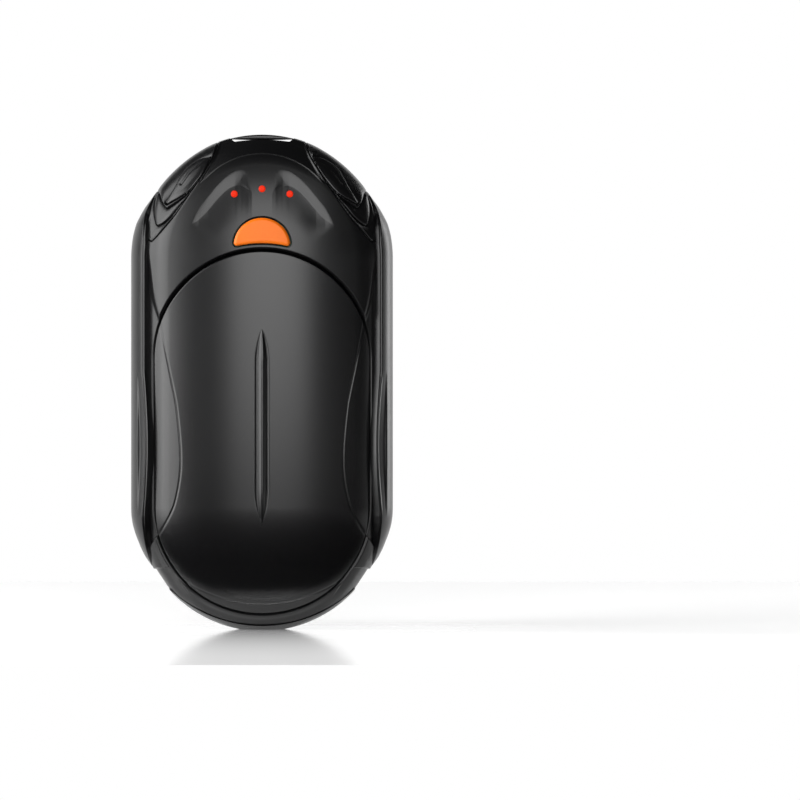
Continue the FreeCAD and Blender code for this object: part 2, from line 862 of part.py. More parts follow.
socket = doc.addObject("PartDesign::Body", "socket")
socket_low = recess_floor + size("bond_gap")
place(socket, 0, 0, socket_low)
ground = [plane for plane in socket.Origin.OriginFeatures if plane.Role == "XY_Plane"][0]


def socket_sketch(name, points, z=0):
    sketch = socket.newObject("Sketcher::SketchObject", name)
    sketch.AttachmentSupport = [(ground, "")]
    sketch.MapMode = "FlatFace"
    bind(sketch, "AttachmentOffset.Base.z", z)
    draw(sketch, points)
    return sketch


shell_pad = socket.newObject("PartDesign::Pad", "socket_shell")
shell_pad.Profile = socket_sketch("socket_shell_outline", socket_outline(as_size(0)))
bind(shell_pad, "Length", size("socket_length"))
mouth = socket.newObject("PartDesign::Pocket", "socket_mouth")
mouth.Profile = socket_sketch("socket_mouth_outline", socket_outline(size("socket_wall")))
mouth.Reversed = True
bind(mouth, "Length", size("socket_depth"))
tongue_x = size("tongue_width") / 2
tongue_y = size("tongue_thick") / 2
tongue_points = [
    (-tongue_x, -tongue_y, None),
    (tongue_x, -tongue_y, None),
    (tongue_x, tongue_y, None),
    (-tongue_x, tongue_y, None),
]
tongue = socket.newObject("PartDesign::Pad", "socket_tongue")
tongue.Profile = socket_sketch(
    "socket_tongue_outline", tongue_points, size("socket_depth") - size("tongue_length")
)
bind(tongue, "Length", size("tongue_length"))
socket.Tip = tongue
node("usb_socket", socket)

# Two pouch cells back to back, taped together and held in a frame with four ears
tape_half = size("tape_thick") / 2
cell_rear = tape_half + size("cell_thick")


def cell_body(label, front):
    body = doc.addObject("PartDesign::Body", label)
    place(body, 0, front, 0)
    wall = [plane for plane in body.Origin.OriginFeatures if plane.Role == "XZ_Plane"][0]
    sketch = body.newObject("Sketcher::SketchObject", label + "_outline")
    sketch.AttachmentSupport = [(wall, "")]
    sketch.MapMode = "FlatFace"
    draw(
        sketch,
        [
            (-cell_half, cell_low, None),
            (cell_half, cell_low, None),
            (cell_half, cell_high, None),
            (-cell_half, cell_high, None),
        ],
    )
    pad = body.newObject("PartDesign::Pad", label + "_pad")
    pad.Profile = sketch
    pad.Reversed = True
    bind(pad, "Length", size("cell_thick"))
    doc.recompute()
    rounded = body.newObject("PartDesign::Fillet", label + "_round")
    edges = [f"Edge{number}" for number in range(1, len(pad.Shape.Edges) + 1)]
    rounded.Base = (pad, edges)
    bind(rounded, "Radius", size("cell_round"))
    body.Tip = rounded
    return node(label, body)


cell_body("front_cell", -cell_rear)
cell_body("rear_cell", tape_half)
tape_margin = size("tape_margin")
tape = box(
    "cell_tape",
    (tape_margin - cell_half, cell_half - tape_margin),
    (-tape_half, tape_half),
    (cell_low + tape_margin, cell_high - tape_margin),
)
node("cell_tape", tape)

ear_front = -size("ear_thick") / 2
ear_back = size("ear_thick") / 2
frame_low = cell_low - size("frame_gap")
frame_high = cell_high + size("frame_gap")
frame_y = size("frame_depth") / 2
boss_spots = [
    (x, z) for x in (-boss_x, boss_x) for z in (size("boss_low"), from_top("boss_high_drop"))
]
frame_block = box(
    "frame_block",
    (-frame_side, frame_side),
    (-frame_y, frame_y),
    (frame_low - size("frame_wall"), frame_high + size("frame_wall")),
)
frame_reach = frame_y + overrun
frame_gap_box = ((-frame_half, frame_half), (-frame_reach, frame_reach), (frame_low, frame_high))
frame_room = box("frame_room", *frame_gap_box)
ears = []
case_screws = []
case_holes = []
head_wells = []
front_bosses = []
rear_bosses = []
case_hole = size("case_screw_radius") + size("screw_gap")
screw_seat = size("case_screw_seat")
screw_tip = screw_seat - size("case_screw_length")
for number, (x, z) in enumerate(boss_spots, start=1):
    tip_x = x + size("ear_half") / 2 if x.value > 0 else x - size("ear_half") / 2
    span = (frame_half, tip_x) if x.value > 0 else (tip_x, -frame_half)
    ear_span = (z - size("ear_half"), z + size("ear_half"))
    ears.append(box(f"ear{number}", span, (ear_front, ear_back), ear_span))
    shank = rod(f"case_shank{number}", size("case_screw_radius"), x, z, screw_tip, screw_seat)
    head_top = screw_seat + size("case_screw_head_thick")
    head = rod(f"case_head{number}", size("case_screw_head"), x, z, screw_seat, head_top)
    case_screws.append(fuse(f"case_screw{number}", shank, head))
    hole_end = screw_tip - size("head_room")
    case_holes.append(rod(f"case_hole{number}", case_hole, x, z, hole_end, screw_seat + overrun))
    head_wells.append(
        rod(f"head_well{number}", size("case_screw_head") + size("head_room"), x, z, screw_seat, rear_edge)
    )
    front_bosses.append(rod(f"front_boss{number}", size("boss_radius"), x, z, front_edge, ear_front))
    rear_bosses.append(rod(f"rear_boss{number}", size("boss_radius"), x, z, ear_back, rear_edge))
node("case_screws", several("case_screws", case_screws))
lead_y = board_rear + size("bond_gap") + size("lead_radius")
lead_slot_half = size("lead_x") + size("lead_radius") + size("frame_gap")
lead_slot = box(
    "lead_slot",
    (-lead_slot_half, lead_slot_half),
    (lead_y - size("lead_radius") - size("frame_gap"), lead_y + size("lead_radius") + size("frame_gap")),
    (frame_high - overrun, frame_high + size("frame_wall") + overrun),
)
frame_ring = cut("frame_ring", frame_block, frame_room)
frame_drill = several("frame_drill", case_holes)
node("cell_frame", cut("frame", fuse("frame_raw", frame_ring, *ears), lead_slot, frame_drill))
for label, x in (("positive_lead", -size("lead_x")), ("negative_lead", size("lead_x"))):
    lead = doc.addObject("Part::Cylinder", label)
    bind(lead, "Radius", size("lead_radius"))
    bind(lead, "Height", from_top("lead_drop") - cell_high)
    place(lead, x, lead_y, cell_high)
    node(label, lead)


def routed(label, radius, bend, stops):
    """A round lead along straight runs joined by tangent arcs at the stops between its ends."""
    edges = []
    here = stops[0]
    for before, corner, after in zip(stops, stops[1:], stops[2:]):
        back = (before - corner).normalize()
        ahead = (after - corner).normalize()
        half_turn = (math.pi - back.getAngle(ahead)) / 2
        run = bend * math.tan(half_turn)
        middle = (back + ahead).normalize()
        apex = corner + middle * (bend / math.cos(half_turn) - bend)
        edges.append(Part.LineSegment(here, corner + back * run).toShape())
        edges.append(Part.Arc(corner + back * run, apex, corner + ahead * run).toShape())
        here = corner + ahead * run
    edges.append(Part.LineSegment(here, stops[-1]).toShape())
    path = Part.Wire(edges)
    way = (stops[1] - stops[0]).normalize()
    ring = Part.Wire(Part.Circle(stops[0], way, radius).toShape())
    lead = doc.addObject("Part::Feature", label)
    lead.Shape = path.makePipeShell([ring], True, False)
    print(label, "length", round(path.Length, 1), "section", round(lead.Shape.Volume / path.Length, 3))
    return node(label, lead)


# Charging leads from the rear of the port board, up beside the cell frame, to the rear of the main board
charge_radius = size("charge_lead_radius").value
charge_x = (frame_side + size("lead_channel") / 2).value
low_y = (port_board_rear + size("bond_gap")).value + charge_radius
high_y = (board_rear + size("bond_gap")).value + charge_radius
for side, way in (("left", -1), ("right", 1)):
    stops = [
        Vector(way * size("charge_low_end_x").value, low_y, size("charge_low_end_z").value),
        Vector(way * charge_x, low_y, size("charge_lead_low").value),
        Vector(way * charge_x, low_y, from_top("charge_lead_drop").value),
        Vector(way * size("charge_high_end_x").value, high_y, from_top("charge_high_end_drop").value),
    ]
    routed(f"charge_lead_{side}", charge_radius, size("charge_bend").value, stops)

# Heat panels with their heater films, and the foam that presses the films from the cells
film_half = window_half - size("film_gap")
film_low = window_low + size("film_gap")
film_high = window_high - size("film_gap")
rib_radius = size("rib_radius")
rib_proud = size("rib_proud")
spindle_y = size("panel_recess") - half_depth - rib_proud + rib_radius
rib_low = low_centre - size("rib_foot")
rib_high = panel_high + size("rib_head")
rib_span = rib_high - rib_low
rib_sweep = (rib_span * rib_span / 4 + rib_proud * rib_proud) / (rib_proud * 2)
rib_points = [
    (0, rib_low, None),
    (rib_radius - rib_proud, rib_low, (rib_sweep, 1)),
    (rib_radius - rib_proud, rib_high, None),
    (0, rib_high, None),
]
rib_profile = upright_sketch("rib_profile", rib_points, spindle_y)
spindle = turned("spindle", rib_profile, Vector(0, 0, 1), 0, spindle_y)
sensor_radius = size("sensor_radius")
sensor_y = film_back - half_depth + size("bond_gap") + sensor_radius
sensor_room = sensor_radius + size("bond_gap")
sensor = doc.addObject("Part::Cylinder", "thermistor")
bind(sensor, "Radius", sensor_radius)
bind(sensor, "Height", size("sensor_length"))
place(sensor, 0, sensor_y, size("sensor_z"))
node("thermistor", sensor)
sensor_pocket = box(
    "sensor_pocket",
    (-sensor_room, sensor_room),
    (front_edge, sensor_y + sensor_room),
    (size("sensor_z") - size("bond_gap"), size("sensor_z") + size("sensor_length") + size("bond_gap")),
)
for face, (near, far) in faces.items():
    outline = stadium(panel_half - size("panel_gap"), low_centre, panel_high)
    blank = common(f"{face}_panel_blank", prism(f"{face}_panel_plate", outline, near, far), panel_face_form)
    if face == "front":
        blank = fuse("front_panel_ribbed", blank, spindle)
    node(f"{face}_heat_panel", cut(f"{face}_panel", blank, panel_back_form))
    inside_window = stadium(panel_half - size("panel_ledge") - size("film_gap"), low_centre, panel_high)
    window_plug = prism(f"{face}_window_plug", inside_window, near, far)
    film_block = box(f"{face}_film_block", (-film_half, film_half), (near, far), (film_low, film_high))
    film_blank = common(f"{face}_film_blank", film_block, window_plug, panel_seat_form)
    film = cut(f"{face}_film", film_blank, film_back_form)
    node(f"{face}_heater_film", film)
    foam_span = (near, -cell_rear) if face == "front" else (cell_rear, far)
    foam_block = box(f"{face}_foam_block", (-cell_half, cell_half), foam_span, (cell_low, cell_high))
    foam = common(f"{face}_foam_blank", foam_block, window_plug, foam_form)
    if face == "front":
        foam = cut("front_foam_cut", foam, sensor_pocket)
    node(f"{face}_foam_pad", foam)

# Case seal in a groove between the two shells, open where the socket comes through
inner_half = half_width - size("case_wall")


def rim_prism(name, grow, depth):
    ring = prism(name + "_ring", stadium(inner_half + grow, low_centre, high_centre), -depth, depth)
    limit = prism(
        name + "_limit", tomb(cavity_radius + grow, seat_centre, cavity_roof + grow), -depth, depth
    )
    return common(name, ring, limit)


def seal_ring(name, gap):
    depth = size("seal_height") / 2 + gap
    outer = rim_prism(name + "_outer", size("seal_inset") + size("seal_width") + gap, depth)
    inner = rim_prism(name + "_inner", size("seal_inset") - gap, depth)
    half = recess_width / 2 + size("seal_width") - gap
    opening = box(name + "_opening", (-half, half), (-depth, depth), (as_size(0), low_centre / 2))
    return cut(name, outer, inner, opening)


node("case_seal", seal_ring("seal", as_size(0)))
seal_groove = seal_ring("seal_groove", size("seal_gap"))


# Forehead relief: a hollow under each brow, a crest sloped back above an arc, and nested corner scales
def brow_outline():
    """Right-hand brow hollow, from its tail over its peak and down beside the nose."""
    return [
        (size("brow_tail_x"), from_top("brow_tail_drop"), (size("brow_sweep"), 1)),
        (size("brow_peak_x"), from_top("brow_peak_drop"), (size("brow_round"), 1)),
        (size("brow_nose_x"), from_top("brow_nose_drop"), None),
        (size("brow_nose_x"), from_top("brow_foot_drop"), None),
    ]


def crest_outline():
    """The top of the case above an arc over the brows, between the corner scales."""
    radius = size("crest_radius")
    reach = size("crest_reach")
    foot = from_top("crest_drop") + root(radius * radius - reach * reach)
    edge = size("crest_root_x")
    edge_foot = from_top("crest_root_drop")
    return [
        (-reach, foot, (radius, -1)),
        (reach, foot, None),
        (edge, edge_foot, None),
        (edge, top_edge, None),
        (-edge, top_edge, None),
        (-edge, edge_foot, None),
    ]


def scale_outline(start, tip, sweep):
    """The corner outside a swept edge from start down to tip, on the right-hand side."""
    return [
        (start[0], start[1], (sweep, -1)),
        (tip[0], tip[1], None),
        (side_edge, tip[1] + overrun, None),
        (side_edge, top_edge, None),
        (start[0], top_edge, None),
    ]


scale_rim = size("scale_rim")
reliefs = {"front": [], "rear": []}
for face, (near, far) in {"front": (front_edge, -scale_rim), "rear": (scale_rim, rear_edge)}.items():
    crest_well = prism(f"{face}_crest_well", crest_outline(), near, far)
    reliefs[face].append(cut(f"{face}_crest", crest_well, crest_form))
    for side in ("left", "right"):
        turn = mirror_outline if side == "left" else list
        for number, form in enumerate(scale_forms, start=1):
            start = (size(f"scale{number}_root_x"), from_top(f"scale{number}_root_drop"))
            tip = (size(f"scale{number}_tip_x"), from_top(f"scale{number}_tip_drop"))
            outline = turn(scale_outline(start, tip, size(f"scale{number}_sweep")))
            well = prism(f"{face}_{side}_scale{number}_well", outline, near, far)
            reliefs[face].append(cut(f"{face}_{side}_scale{number}", well, form))
for side in ("left", "right"):
    turn = mirror_outline if side == "left" else list
    brow_well = prism(f"{side}_brow_well", turn(brow_outline()), front_edge, -half_depth / 2)
    reliefs["front"].append(cut(f"{side}_brow", brow_well, brow_form))

# Shells: the case form halved at the parting, hollowed, opened for what passes through, and fitted with posts
shell_span = ((-side_edge, side_edge), (-overrun, top_edge))
front_half = box("front_half", shell_span[0], (front_edge, -parting), shell_span[1])
rear_half = box("rear_half", shell_span[0], (parting, rear_edge), shell_span[1])
flank_cuts = several("flank_cuts", grip_pockets)
end_cuts = fuse("end_cuts", cover_bay, bead_groove, socket_recess, socket_door)
slot_cuts = fuse("slot_cuts", lanyard_slot, bar_pocket)
shared_cuts = [cavity, flank_cuts, end_cuts, slot_cuts]

front_hull = cut("front_hull", common("front_blank", skin, front_half), *shared_cuts, *reliefs["front"])
front_open = cut("front_open", front_hull, seat_cuts["front"], windows["front"])
front_stems = common("front_stems", fuse("front_columns", *front_bosses, *main_posts), foam_form)
front_raw = fuse("front_raw", front_open, front_stems)
front_holes = several("front_holes", [button_hole, *light_holes, *main_holes, *case_holes])
node("front_shell", cut("front", front_raw, front_holes, seal_groove))

rear_hull = cut("rear_hull", common("rear_blank", skin, rear_half), *shared_cuts, *reliefs["rear"])
rear_open = cut("rear_open", rear_hull, seat_cuts["rear"], windows["rear"])
rear_stems = common("rear_stems", fuse("rear_columns", *rear_bosses, *port_posts), foam_form)
rear_raw = fuse("rear_raw", rear_open, rear_stems)
rear_holes = several("rear_holes", [*case_holes, *port_holes])
rear_wells = several("rear_wells", head_wells)
node("rear_shell", cut("rear", rear_raw, rear_holes, rear_wells, seal_groove))

# Every object has to have recomputed, and every node has to be one sound shape, before anything is written
doc.recompute()
for thing in doc.Objects:
    if "Invalid" in thing.State or "Error" in thing.State:
        raise RuntimeError(f"{thing.Label} failed to recompute: {thing.State}")
for solid in nodes:
    shape = solid.Shape
    if shape.isNull() or not shape.isValid() or not shape.Solids:
        raise RuntimeError(f"{solid.Label} has no sound shape")

os.makedirs("parts", exist_ok=True)
for solid in nodes:
    solid.Shape.exportStep(f"parts/{solid.Label}.step")
    print(solid.Label, len(solid.Shape.Solids), round(solid.Shape.Volume, 1))
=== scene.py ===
import math

import bmesh
import bpy
import numpy as np
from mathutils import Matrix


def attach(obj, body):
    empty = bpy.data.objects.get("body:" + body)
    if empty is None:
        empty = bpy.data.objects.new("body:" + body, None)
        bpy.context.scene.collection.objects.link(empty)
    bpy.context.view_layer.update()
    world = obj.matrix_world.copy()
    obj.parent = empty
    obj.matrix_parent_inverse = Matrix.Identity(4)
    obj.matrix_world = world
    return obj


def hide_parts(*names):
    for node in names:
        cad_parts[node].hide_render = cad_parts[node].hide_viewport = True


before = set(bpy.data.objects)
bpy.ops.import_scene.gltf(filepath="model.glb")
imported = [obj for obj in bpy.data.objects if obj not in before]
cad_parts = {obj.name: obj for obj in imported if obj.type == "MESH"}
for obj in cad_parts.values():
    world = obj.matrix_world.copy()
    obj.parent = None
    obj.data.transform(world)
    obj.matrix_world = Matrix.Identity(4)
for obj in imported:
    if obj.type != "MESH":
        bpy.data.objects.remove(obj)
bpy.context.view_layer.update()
scene = bpy.context.scene
scene.view_settings.view_transform = "Standard"

# Studio camera: a long lens level with the middle of the case, straight at the button face.
# The lens is shifted, because the case stands left of the picture's middle. Sizes are in millimetres.
eye_distance, eye_height = 1000, 45.8
picture_width, case_offset = 160, 27.6
camera_data = bpy.data.cameras.new("studio_camera")
camera_data.sensor_width = 36
camera_data.lens = camera_data.sensor_width * eye_distance / picture_width
camera_data.shift_x = case_offset / picture_width
camera = bpy.data.objects.new("studio_camera", camera_data)
camera.location = (0, -eye_distance / 1000, eye_height / 1000)
camera.rotation_euler = (math.pi / 2, 0, 0)
scene.collection.objects.link(camera)
scene.camera = camera


# White table and backdrop: a polished white laminate top that runs up into a paper sweep.
# The top ends a hand's width in front of the case, so the case's reflection in it ends there too.
def linear(code):
    """A linear colour from an sRGB hex value."""
    parts = [int(code[i : i + 2], 16) / 255 for i in (1, 3, 5)]
    return [c / 12.92 if c <= 0.04045 else ((c + 0.055) / 1.055) ** 2.4 for c in parts] + [1.0]


def add_node(material, kind, inputs=None, **settings):
    """Adds a shader node, sets its properties, and fills or links its inputs."""
    made = material.node_tree.nodes.new("ShaderNode" + kind)
    for name, value in settings.items():
        setattr(made, name, value)
    for name, value in (inputs or {}).items():
        if isinstance(value, bpy.types.NodeSocket):
            material.node_tree.links.new(value, made.inputs[name])
        else:
            made.inputs[name].default_value = value
    return made


def new_material(name):
    """A material with no nodes yet."""
    material = bpy.data.materials.new(name)
    material.use_nodes = True
    material.node_tree.nodes.clear()
    return material


def put_mesh(name, points, faces, material, sharp=35, closed=True):
    """A smooth-shaded object from points in millimetres, with its doubled points joined."""
    mesh = bpy.data.meshes.new(name)
    mesh.from_pydata((np.asarray(points) * 0.001).tolist(), [], [list(face) for face in faces])
    if closed:
        loose = bmesh.new()
        loose.from_mesh(mesh)
        bmesh.ops.remove_doubles(loose, verts=loose.verts, dist=1e-7)
        bmesh.ops.recalc_face_normals(loose, faces=loose.faces)
        loose.to_mesh(mesh)
        loose.free()
    mesh.polygons.foreach_set("use_smooth", [True] * len(mesh.polygons))
    mesh.set_sharp_from_angle(angle=math.radians(sharp))
    mesh.materials.append(material)
    piece = bpy.data.objects.new(name, mesh)
    scene.collection.objects.link(piece)
    return piece


def shown(material):
    """One for rays from the camera, a mirror or glass, and none for the rest."""
    path = add_node(material, "LightPath")
    direct = add_node(
        material,
        "Math",
        {0: path.outputs["Is Camera Ray"], 1: path.outputs["Is Glossy Ray"]},
        operation="MAXIMUM",
    )
    return add_node(
        material,
        "Math",
        {0: direct.outputs[0], 1: path.outputs["Is Transmission Ray"]},
        operation="MAXIMUM",
    )


table_edge, table_back, table_half = -136, 260, 420
paper_half, sweep_start, sweep_radius, sweep_top = 4000, 1900, 400, 1400
floor_height, floor_end = -700, -14000

# matt paper, an even white wherever it is seen
paper = new_material("white paper, matt")
white = add_node(paper, "Emission", {"Color": (1, 1, 1, 1), "Strength": 1.0})
sheet = add_node(paper, "BsdfDiffuse", {"Color": linear("#F2F2F2")})
surface = add_node(
    paper, "MixShader", {0: shown(paper).outputs[0], 1: sheet.outputs[0], 2: white.outputs[0]}
)
add_node(paper, "OutputMaterial", {"Surface": surface.outputs[0]})

# polished laminate, white and clear enough to mirror the case
laminate = new_material("white laminate, polished")
glow = add_node(laminate, "Math", {0: shown(laminate).outputs[0], 1: 0.47}, operation="MULTIPLY")
white = add_node(laminate, "Emission", {"Color": (1, 1, 1, 1), "Strength": glow.outputs[0]})
top_coat = add_node(laminate, "BsdfDiffuse", {"Color": linear("#F2F2F2")})
bright = add_node(laminate, "AddShader", {0: white.outputs[0], 1: top_coat.outputs[0]})
place = add_node(laminate, "TexCoord")
along = add_node(laminate, "SeparateXYZ", {0: place.outputs["Object"]})
# the polish shows the case most where it stands and fades towards the table's front edge
nearness = add_node(
    laminate, "MapRange", {"Value": along.outputs["Y"], "From Min": table_edge / 1000, "From Max": -0.006}
)
swell = add_node(laminate, "Math", {0: nearness.outputs[0], 1: 2.2}, operation="POWER")
polish = add_node(laminate, "MapRange", {"Value": swell.outputs[0], "To Min": 0.43, "To Max": 0.9})
# beside and behind the case the top is dull
aside = add_node(laminate, "Math", {0: along.outputs["X"]}, operation="ABSOLUTE")
beside = add_node(
    laminate,
    "MapRange",
    {"Value": aside.outputs[0], "From Min": 0.038, "From Max": 0.07, "To Min": 1.0, "To Max": 0.05},
)
behind = add_node(
    laminate,
    "MapRange",
    {"Value": along.outputs["Y"], "From Min": 0.01, "From Max": 0.03, "To Min": 1.0, "To Max": 0.05},
)
dull = add_node(laminate, "Math", {0: beside.outputs[0], 1: behind.outputs[0]}, operation="MULTIPLY")
# and a polished top mirrors most at a flat angle
slant = add_node(laminate, "LayerWeight", {"Blend": 0.5})
sheen = add_node(laminate, "Math", {0: slant.outputs["Facing"], 1: 1.5}, operation="POWER")
flat = add_node(laminate, "Math", {0: dull.outputs[0], 1: sheen.outputs[0]}, operation="MULTIPLY")
polish = add_node(laminate, "Math", {0: polish.outputs[0], 1: flat.outputs[0]}, operation="MULTIPLY")
mirror = add_node(laminate, "BsdfGlossy", {"Color": (1, 1, 1, 1), "Roughness": 0.1})
surface = add_node(
    laminate, "MixShader", {0: polish.outputs[0], 1: bright.outputs[0], 2: mirror.outputs[0]}
)
add_node(laminate, "OutputMaterial", {"Surface": surface.outputs[0]})

top_points = [(x, y, 0) for y in (table_edge, table_back) for x in (-table_half, table_half)]
table = put_mesh("white_table", top_points, [(0, 1, 3, 2)], laminate, closed=False)
sweep = [(table_back, 0), (sweep_start, 0)]
for turn in np.linspace(0.1, math.pi / 2, 12):
    sweep.append((sweep_start + sweep_radius * math.sin(turn), sweep_radius - sweep_radius * math.cos(turn)))
sweep.append((sweep_start + sweep_radius, sweep_top))
sweep_points = [(x, y, z) for y, z in sweep for x in (-paper_half, paper_half)]
sweep_faces = [(2 * i, 2 * i + 1, 2 * i + 3, 2 * i + 2) for i in range(len(sweep) - 1)]
for side in (-1, 1):
    first = len(sweep_points)
    sweep_points += [(side * x, y, 0) for y in (table_edge, table_back) for x in (table_half, paper_half)]
    sweep_faces += [(first, first + 1, first + 3, first + 2)]
backdrop = put_mesh("paper_backdrop", sweep_points, sweep_faces, paper, closed=False)
apron_points = [(x, table_edge, z) for z in (floor_height, 0) for x in (-paper_half, paper_half)]
apron_points += [(x, floor_end, floor_height) for x in (-paper_half, paper_half)]
apron = put_mesh("table_apron", apron_points, [(0, 1, 3, 2), (4, 5, 1, 0)], paper, closed=False)

# Black flag: a card held low in front of the case, which keeps the white table out of the panel's lower end.
# It works only from above, and only in reflections.
flag_height, flag_front, flag_rear, flag_half, gauze_width = 6.5, -330, -8, 90, 4
card = new_material("black card, matt")
pulp = add_node(card, "BsdfDiffuse", {"Color": linear("#050505")})
clear = add_node(card, "BsdfTransparent")
under = add_node(card, "NewGeometry")
place = add_node(card, "TexCoord")
along = add_node(card, "SeparateXYZ", {0: place.outputs["Object"]})
# a gauze edge next to the case softens the card's line
gauze_start = (flag_rear - gauze_width) / 1000
gauze = add_node(
    card, "MapRange", {"Value": along.outputs["Y"], "From Min": gauze_start, "From Max": flag_rear / 1000}
)
open_part = add_node(
    card, "Math", {0: under.outputs["Backfacing"], 1: gauze.outputs[0]}, operation="MAXIMUM"
)
surface = add_node(card, "MixShader", {0: open_part.outputs[0], 1: pulp.outputs[0], 2: clear.outputs[0]})
add_node(card, "OutputMaterial", {"Surface": surface.outputs[0]})
flag_points = [(x, y, flag_height) for y in (flag_front, flag_rear) for x in (-flag_half, flag_half)]
flag = put_mesh("black_flag", flag_points, [(0, 1, 3, 2)], card, closed=False)
flag.visible_camera = False
flag.visible_diffuse = False
flag.visible_shadow = False

# Studio light: a tall strip and a fill at the left, a soft box above the camera, and a rim strip behind.
# Each is a plain area lamp, with its places and sizes in metres; the dim room fills the rest.
aim_height = 0.05


def soft_box(name, azimuth, height, distance, size, radiance):
    """An area lamp that faces the case, at an azimuth in degrees from the camera towards the right."""
    lamp = bpy.data.lights.new(name, "AREA")
    lamp.shape = "RECTANGLE"
    lamp.size, lamp.size_y = size
    lamp.energy = radiance * math.pi * size[0] * size[1]
    holder = bpy.data.objects.new(name, lamp)
    angle = math.radians(azimuth)
    holder.location = (distance * math.sin(angle), -distance * math.cos(angle), height)
    drop = math.atan2(height - aim_height, distance)
    holder.rotation_euler = (math.pi / 2 - drop, 0, angle)
    holder.visible_camera = False
    scene.collection.objects.link(holder)


soft_box("left_strip", -84, 0.26, 0.8, (0.60, 1.2), 4.4)
soft_box("left_fill", -54, 0.12, 0.9, (0.44, 1.0), 5.4)
soft_box("front_box", 3, 0.31, 0.9, (0.58, 0.62), 4.5)
soft_box("rear_right_strip", 128, 0.12, 0.5, (0.12, 0.5), 3.4)
room = bpy.data.worlds.new("studio_room")
room.use_nodes = True
room.node_tree.nodes["Background"].inputs["Color"].default_value = linear("#2C2C2C")
room.node_tree.nodes["Background"].inputs["Strength"].default_value = 1.0
scene.world = room

# Front shell: one half of the case, injection-moulded in black ABS with a satin spark-eroded skin.
# Its section is a crowned lens that runs straight down the sides and turns half round at both ends.
low_centre, high_centre = 24.6, 74.0
case_half = 25.0
crown_radius, crown_sink = 55.0, 42.497
edge_radius, edge_centre = 9.9, 15.1
shoulder = edge_centre * crown_radius / (crown_radius - edge_radius)
barrel_drop, barrel_middle, barrel_reach = 0.9, 58, 50


def section(r):
    """Depth of the case at a distance from its spine, with the outward and forward parts of its normal."""
    inner = r < shoulder
    crown = np.sqrt(crown_radius**2 - np.minimum(r, shoulder) ** 2)
    reach = np.clip(np.maximum(r, shoulder) - edge_centre, 0, edge_radius)
    edge = np.sqrt(edge_radius**2 - reach**2)
    depth = np.where(inner, crown - crown_sink, edge)
    outward = np.where(inner, r / crown_radius, reach / edge_radius)
    forward = np.where(inner, crown / crown_radius, edge / edge_radius)
    return depth, outward, forward


def spine_distance(x, z):
    """Distance in the front view from the case's upright middle line."""
    return np.hypot(x, z - np.clip(z, low_centre, high_centre))


def skin(x, z, lift):
    """Points on the front of the case at a front-view place, moved off the skin by a lift."""
    spine = np.clip(z, low_centre, high_centre)
    r = np.maximum(np.hypot(x, z - spine), 1e-9)
    depth, outward, forward = section(r)
    step = outward * lift / r
    return np.stack([x + step * x, -(depth + forward * lift), z + step * (z - spine)], axis=-1)


def barrel(x, z):
    """The slight barrel of both faces from end to end, which fades out towards the edge."""
    forward = section(spine_distance(x, z))[2]
    return -barrel_drop * ((z - barrel_middle) / barrel_reach) ** 2 * forward**2


def as_seen(x, z):
    """Where a place on the skin shows on the case's middle plane, seen from the camera's place."""
    nearer = 1 - section(spine_distance(x, z))[0] / eye_distance
    return x / nearer, eye_height + (z - eye_height) / nearer


def smoothstep(low, high, value):
    """A soft step from none to one between two values."""
    t = np.clip((value - low) / (high - low), 0, 1)
    return t * t * (3 - 2 * t)


def soft_line(gap, width):
    """One on a line and none away from it, for a groove or a bead of about that half width."""
    return np.exp(-((gap / width) ** 2))


def flowing(points, count=9):
    """A smooth line through given points."""
    p = np.asarray(points, float)
    p = np.vstack([2 * p[0] - p[1], p, 2 * p[-1] - p[-2]])
    line = []
    for a, b, c, d in zip(p, p[1:], p[2:], p[3:]):
        for t in np.linspace(0, 1, count, endpoint=False):
            bend = (2 * a - 5 * b + 4 * c - d) * t**2
            twist = (3 * b - a - 3 * c + d) * t**3
            line.append(0.5 * (2 * b + (c - a) * t + bend + twist))
    return np.array(line + [p[-2]])


def line_gap(line, x, z):
    """Distance from each place to a line."""
    best = np.full(x.shape, 1e9)
    for (ax, az), (bx, bz) in zip(line, line[1:]):
        run = max((bx - ax) ** 2 + (bz - az) ** 2, 1e-12)
        t = np.clip(((x - ax) * (bx - ax) + (z - az) * (bz - az)) / run, 0, 1)
        best = np.minimum(best, np.hypot(x - ax - t * (bx - ax), z - az - t * (bz - az)))
    return best


def within(outline, x, z):
    """Which places lie inside a closed outline."""
    held = np.zeros(x.shape, bool)
    for (ax, az), (bx, bz) in zip(outline, np.roll(outline, -1, axis=0)):
        if az != bz:
            held ^= ((az > z) != (bz > z)) & (x < (bx - ax) * (z - az) / (bz - az) + ax)
    return held


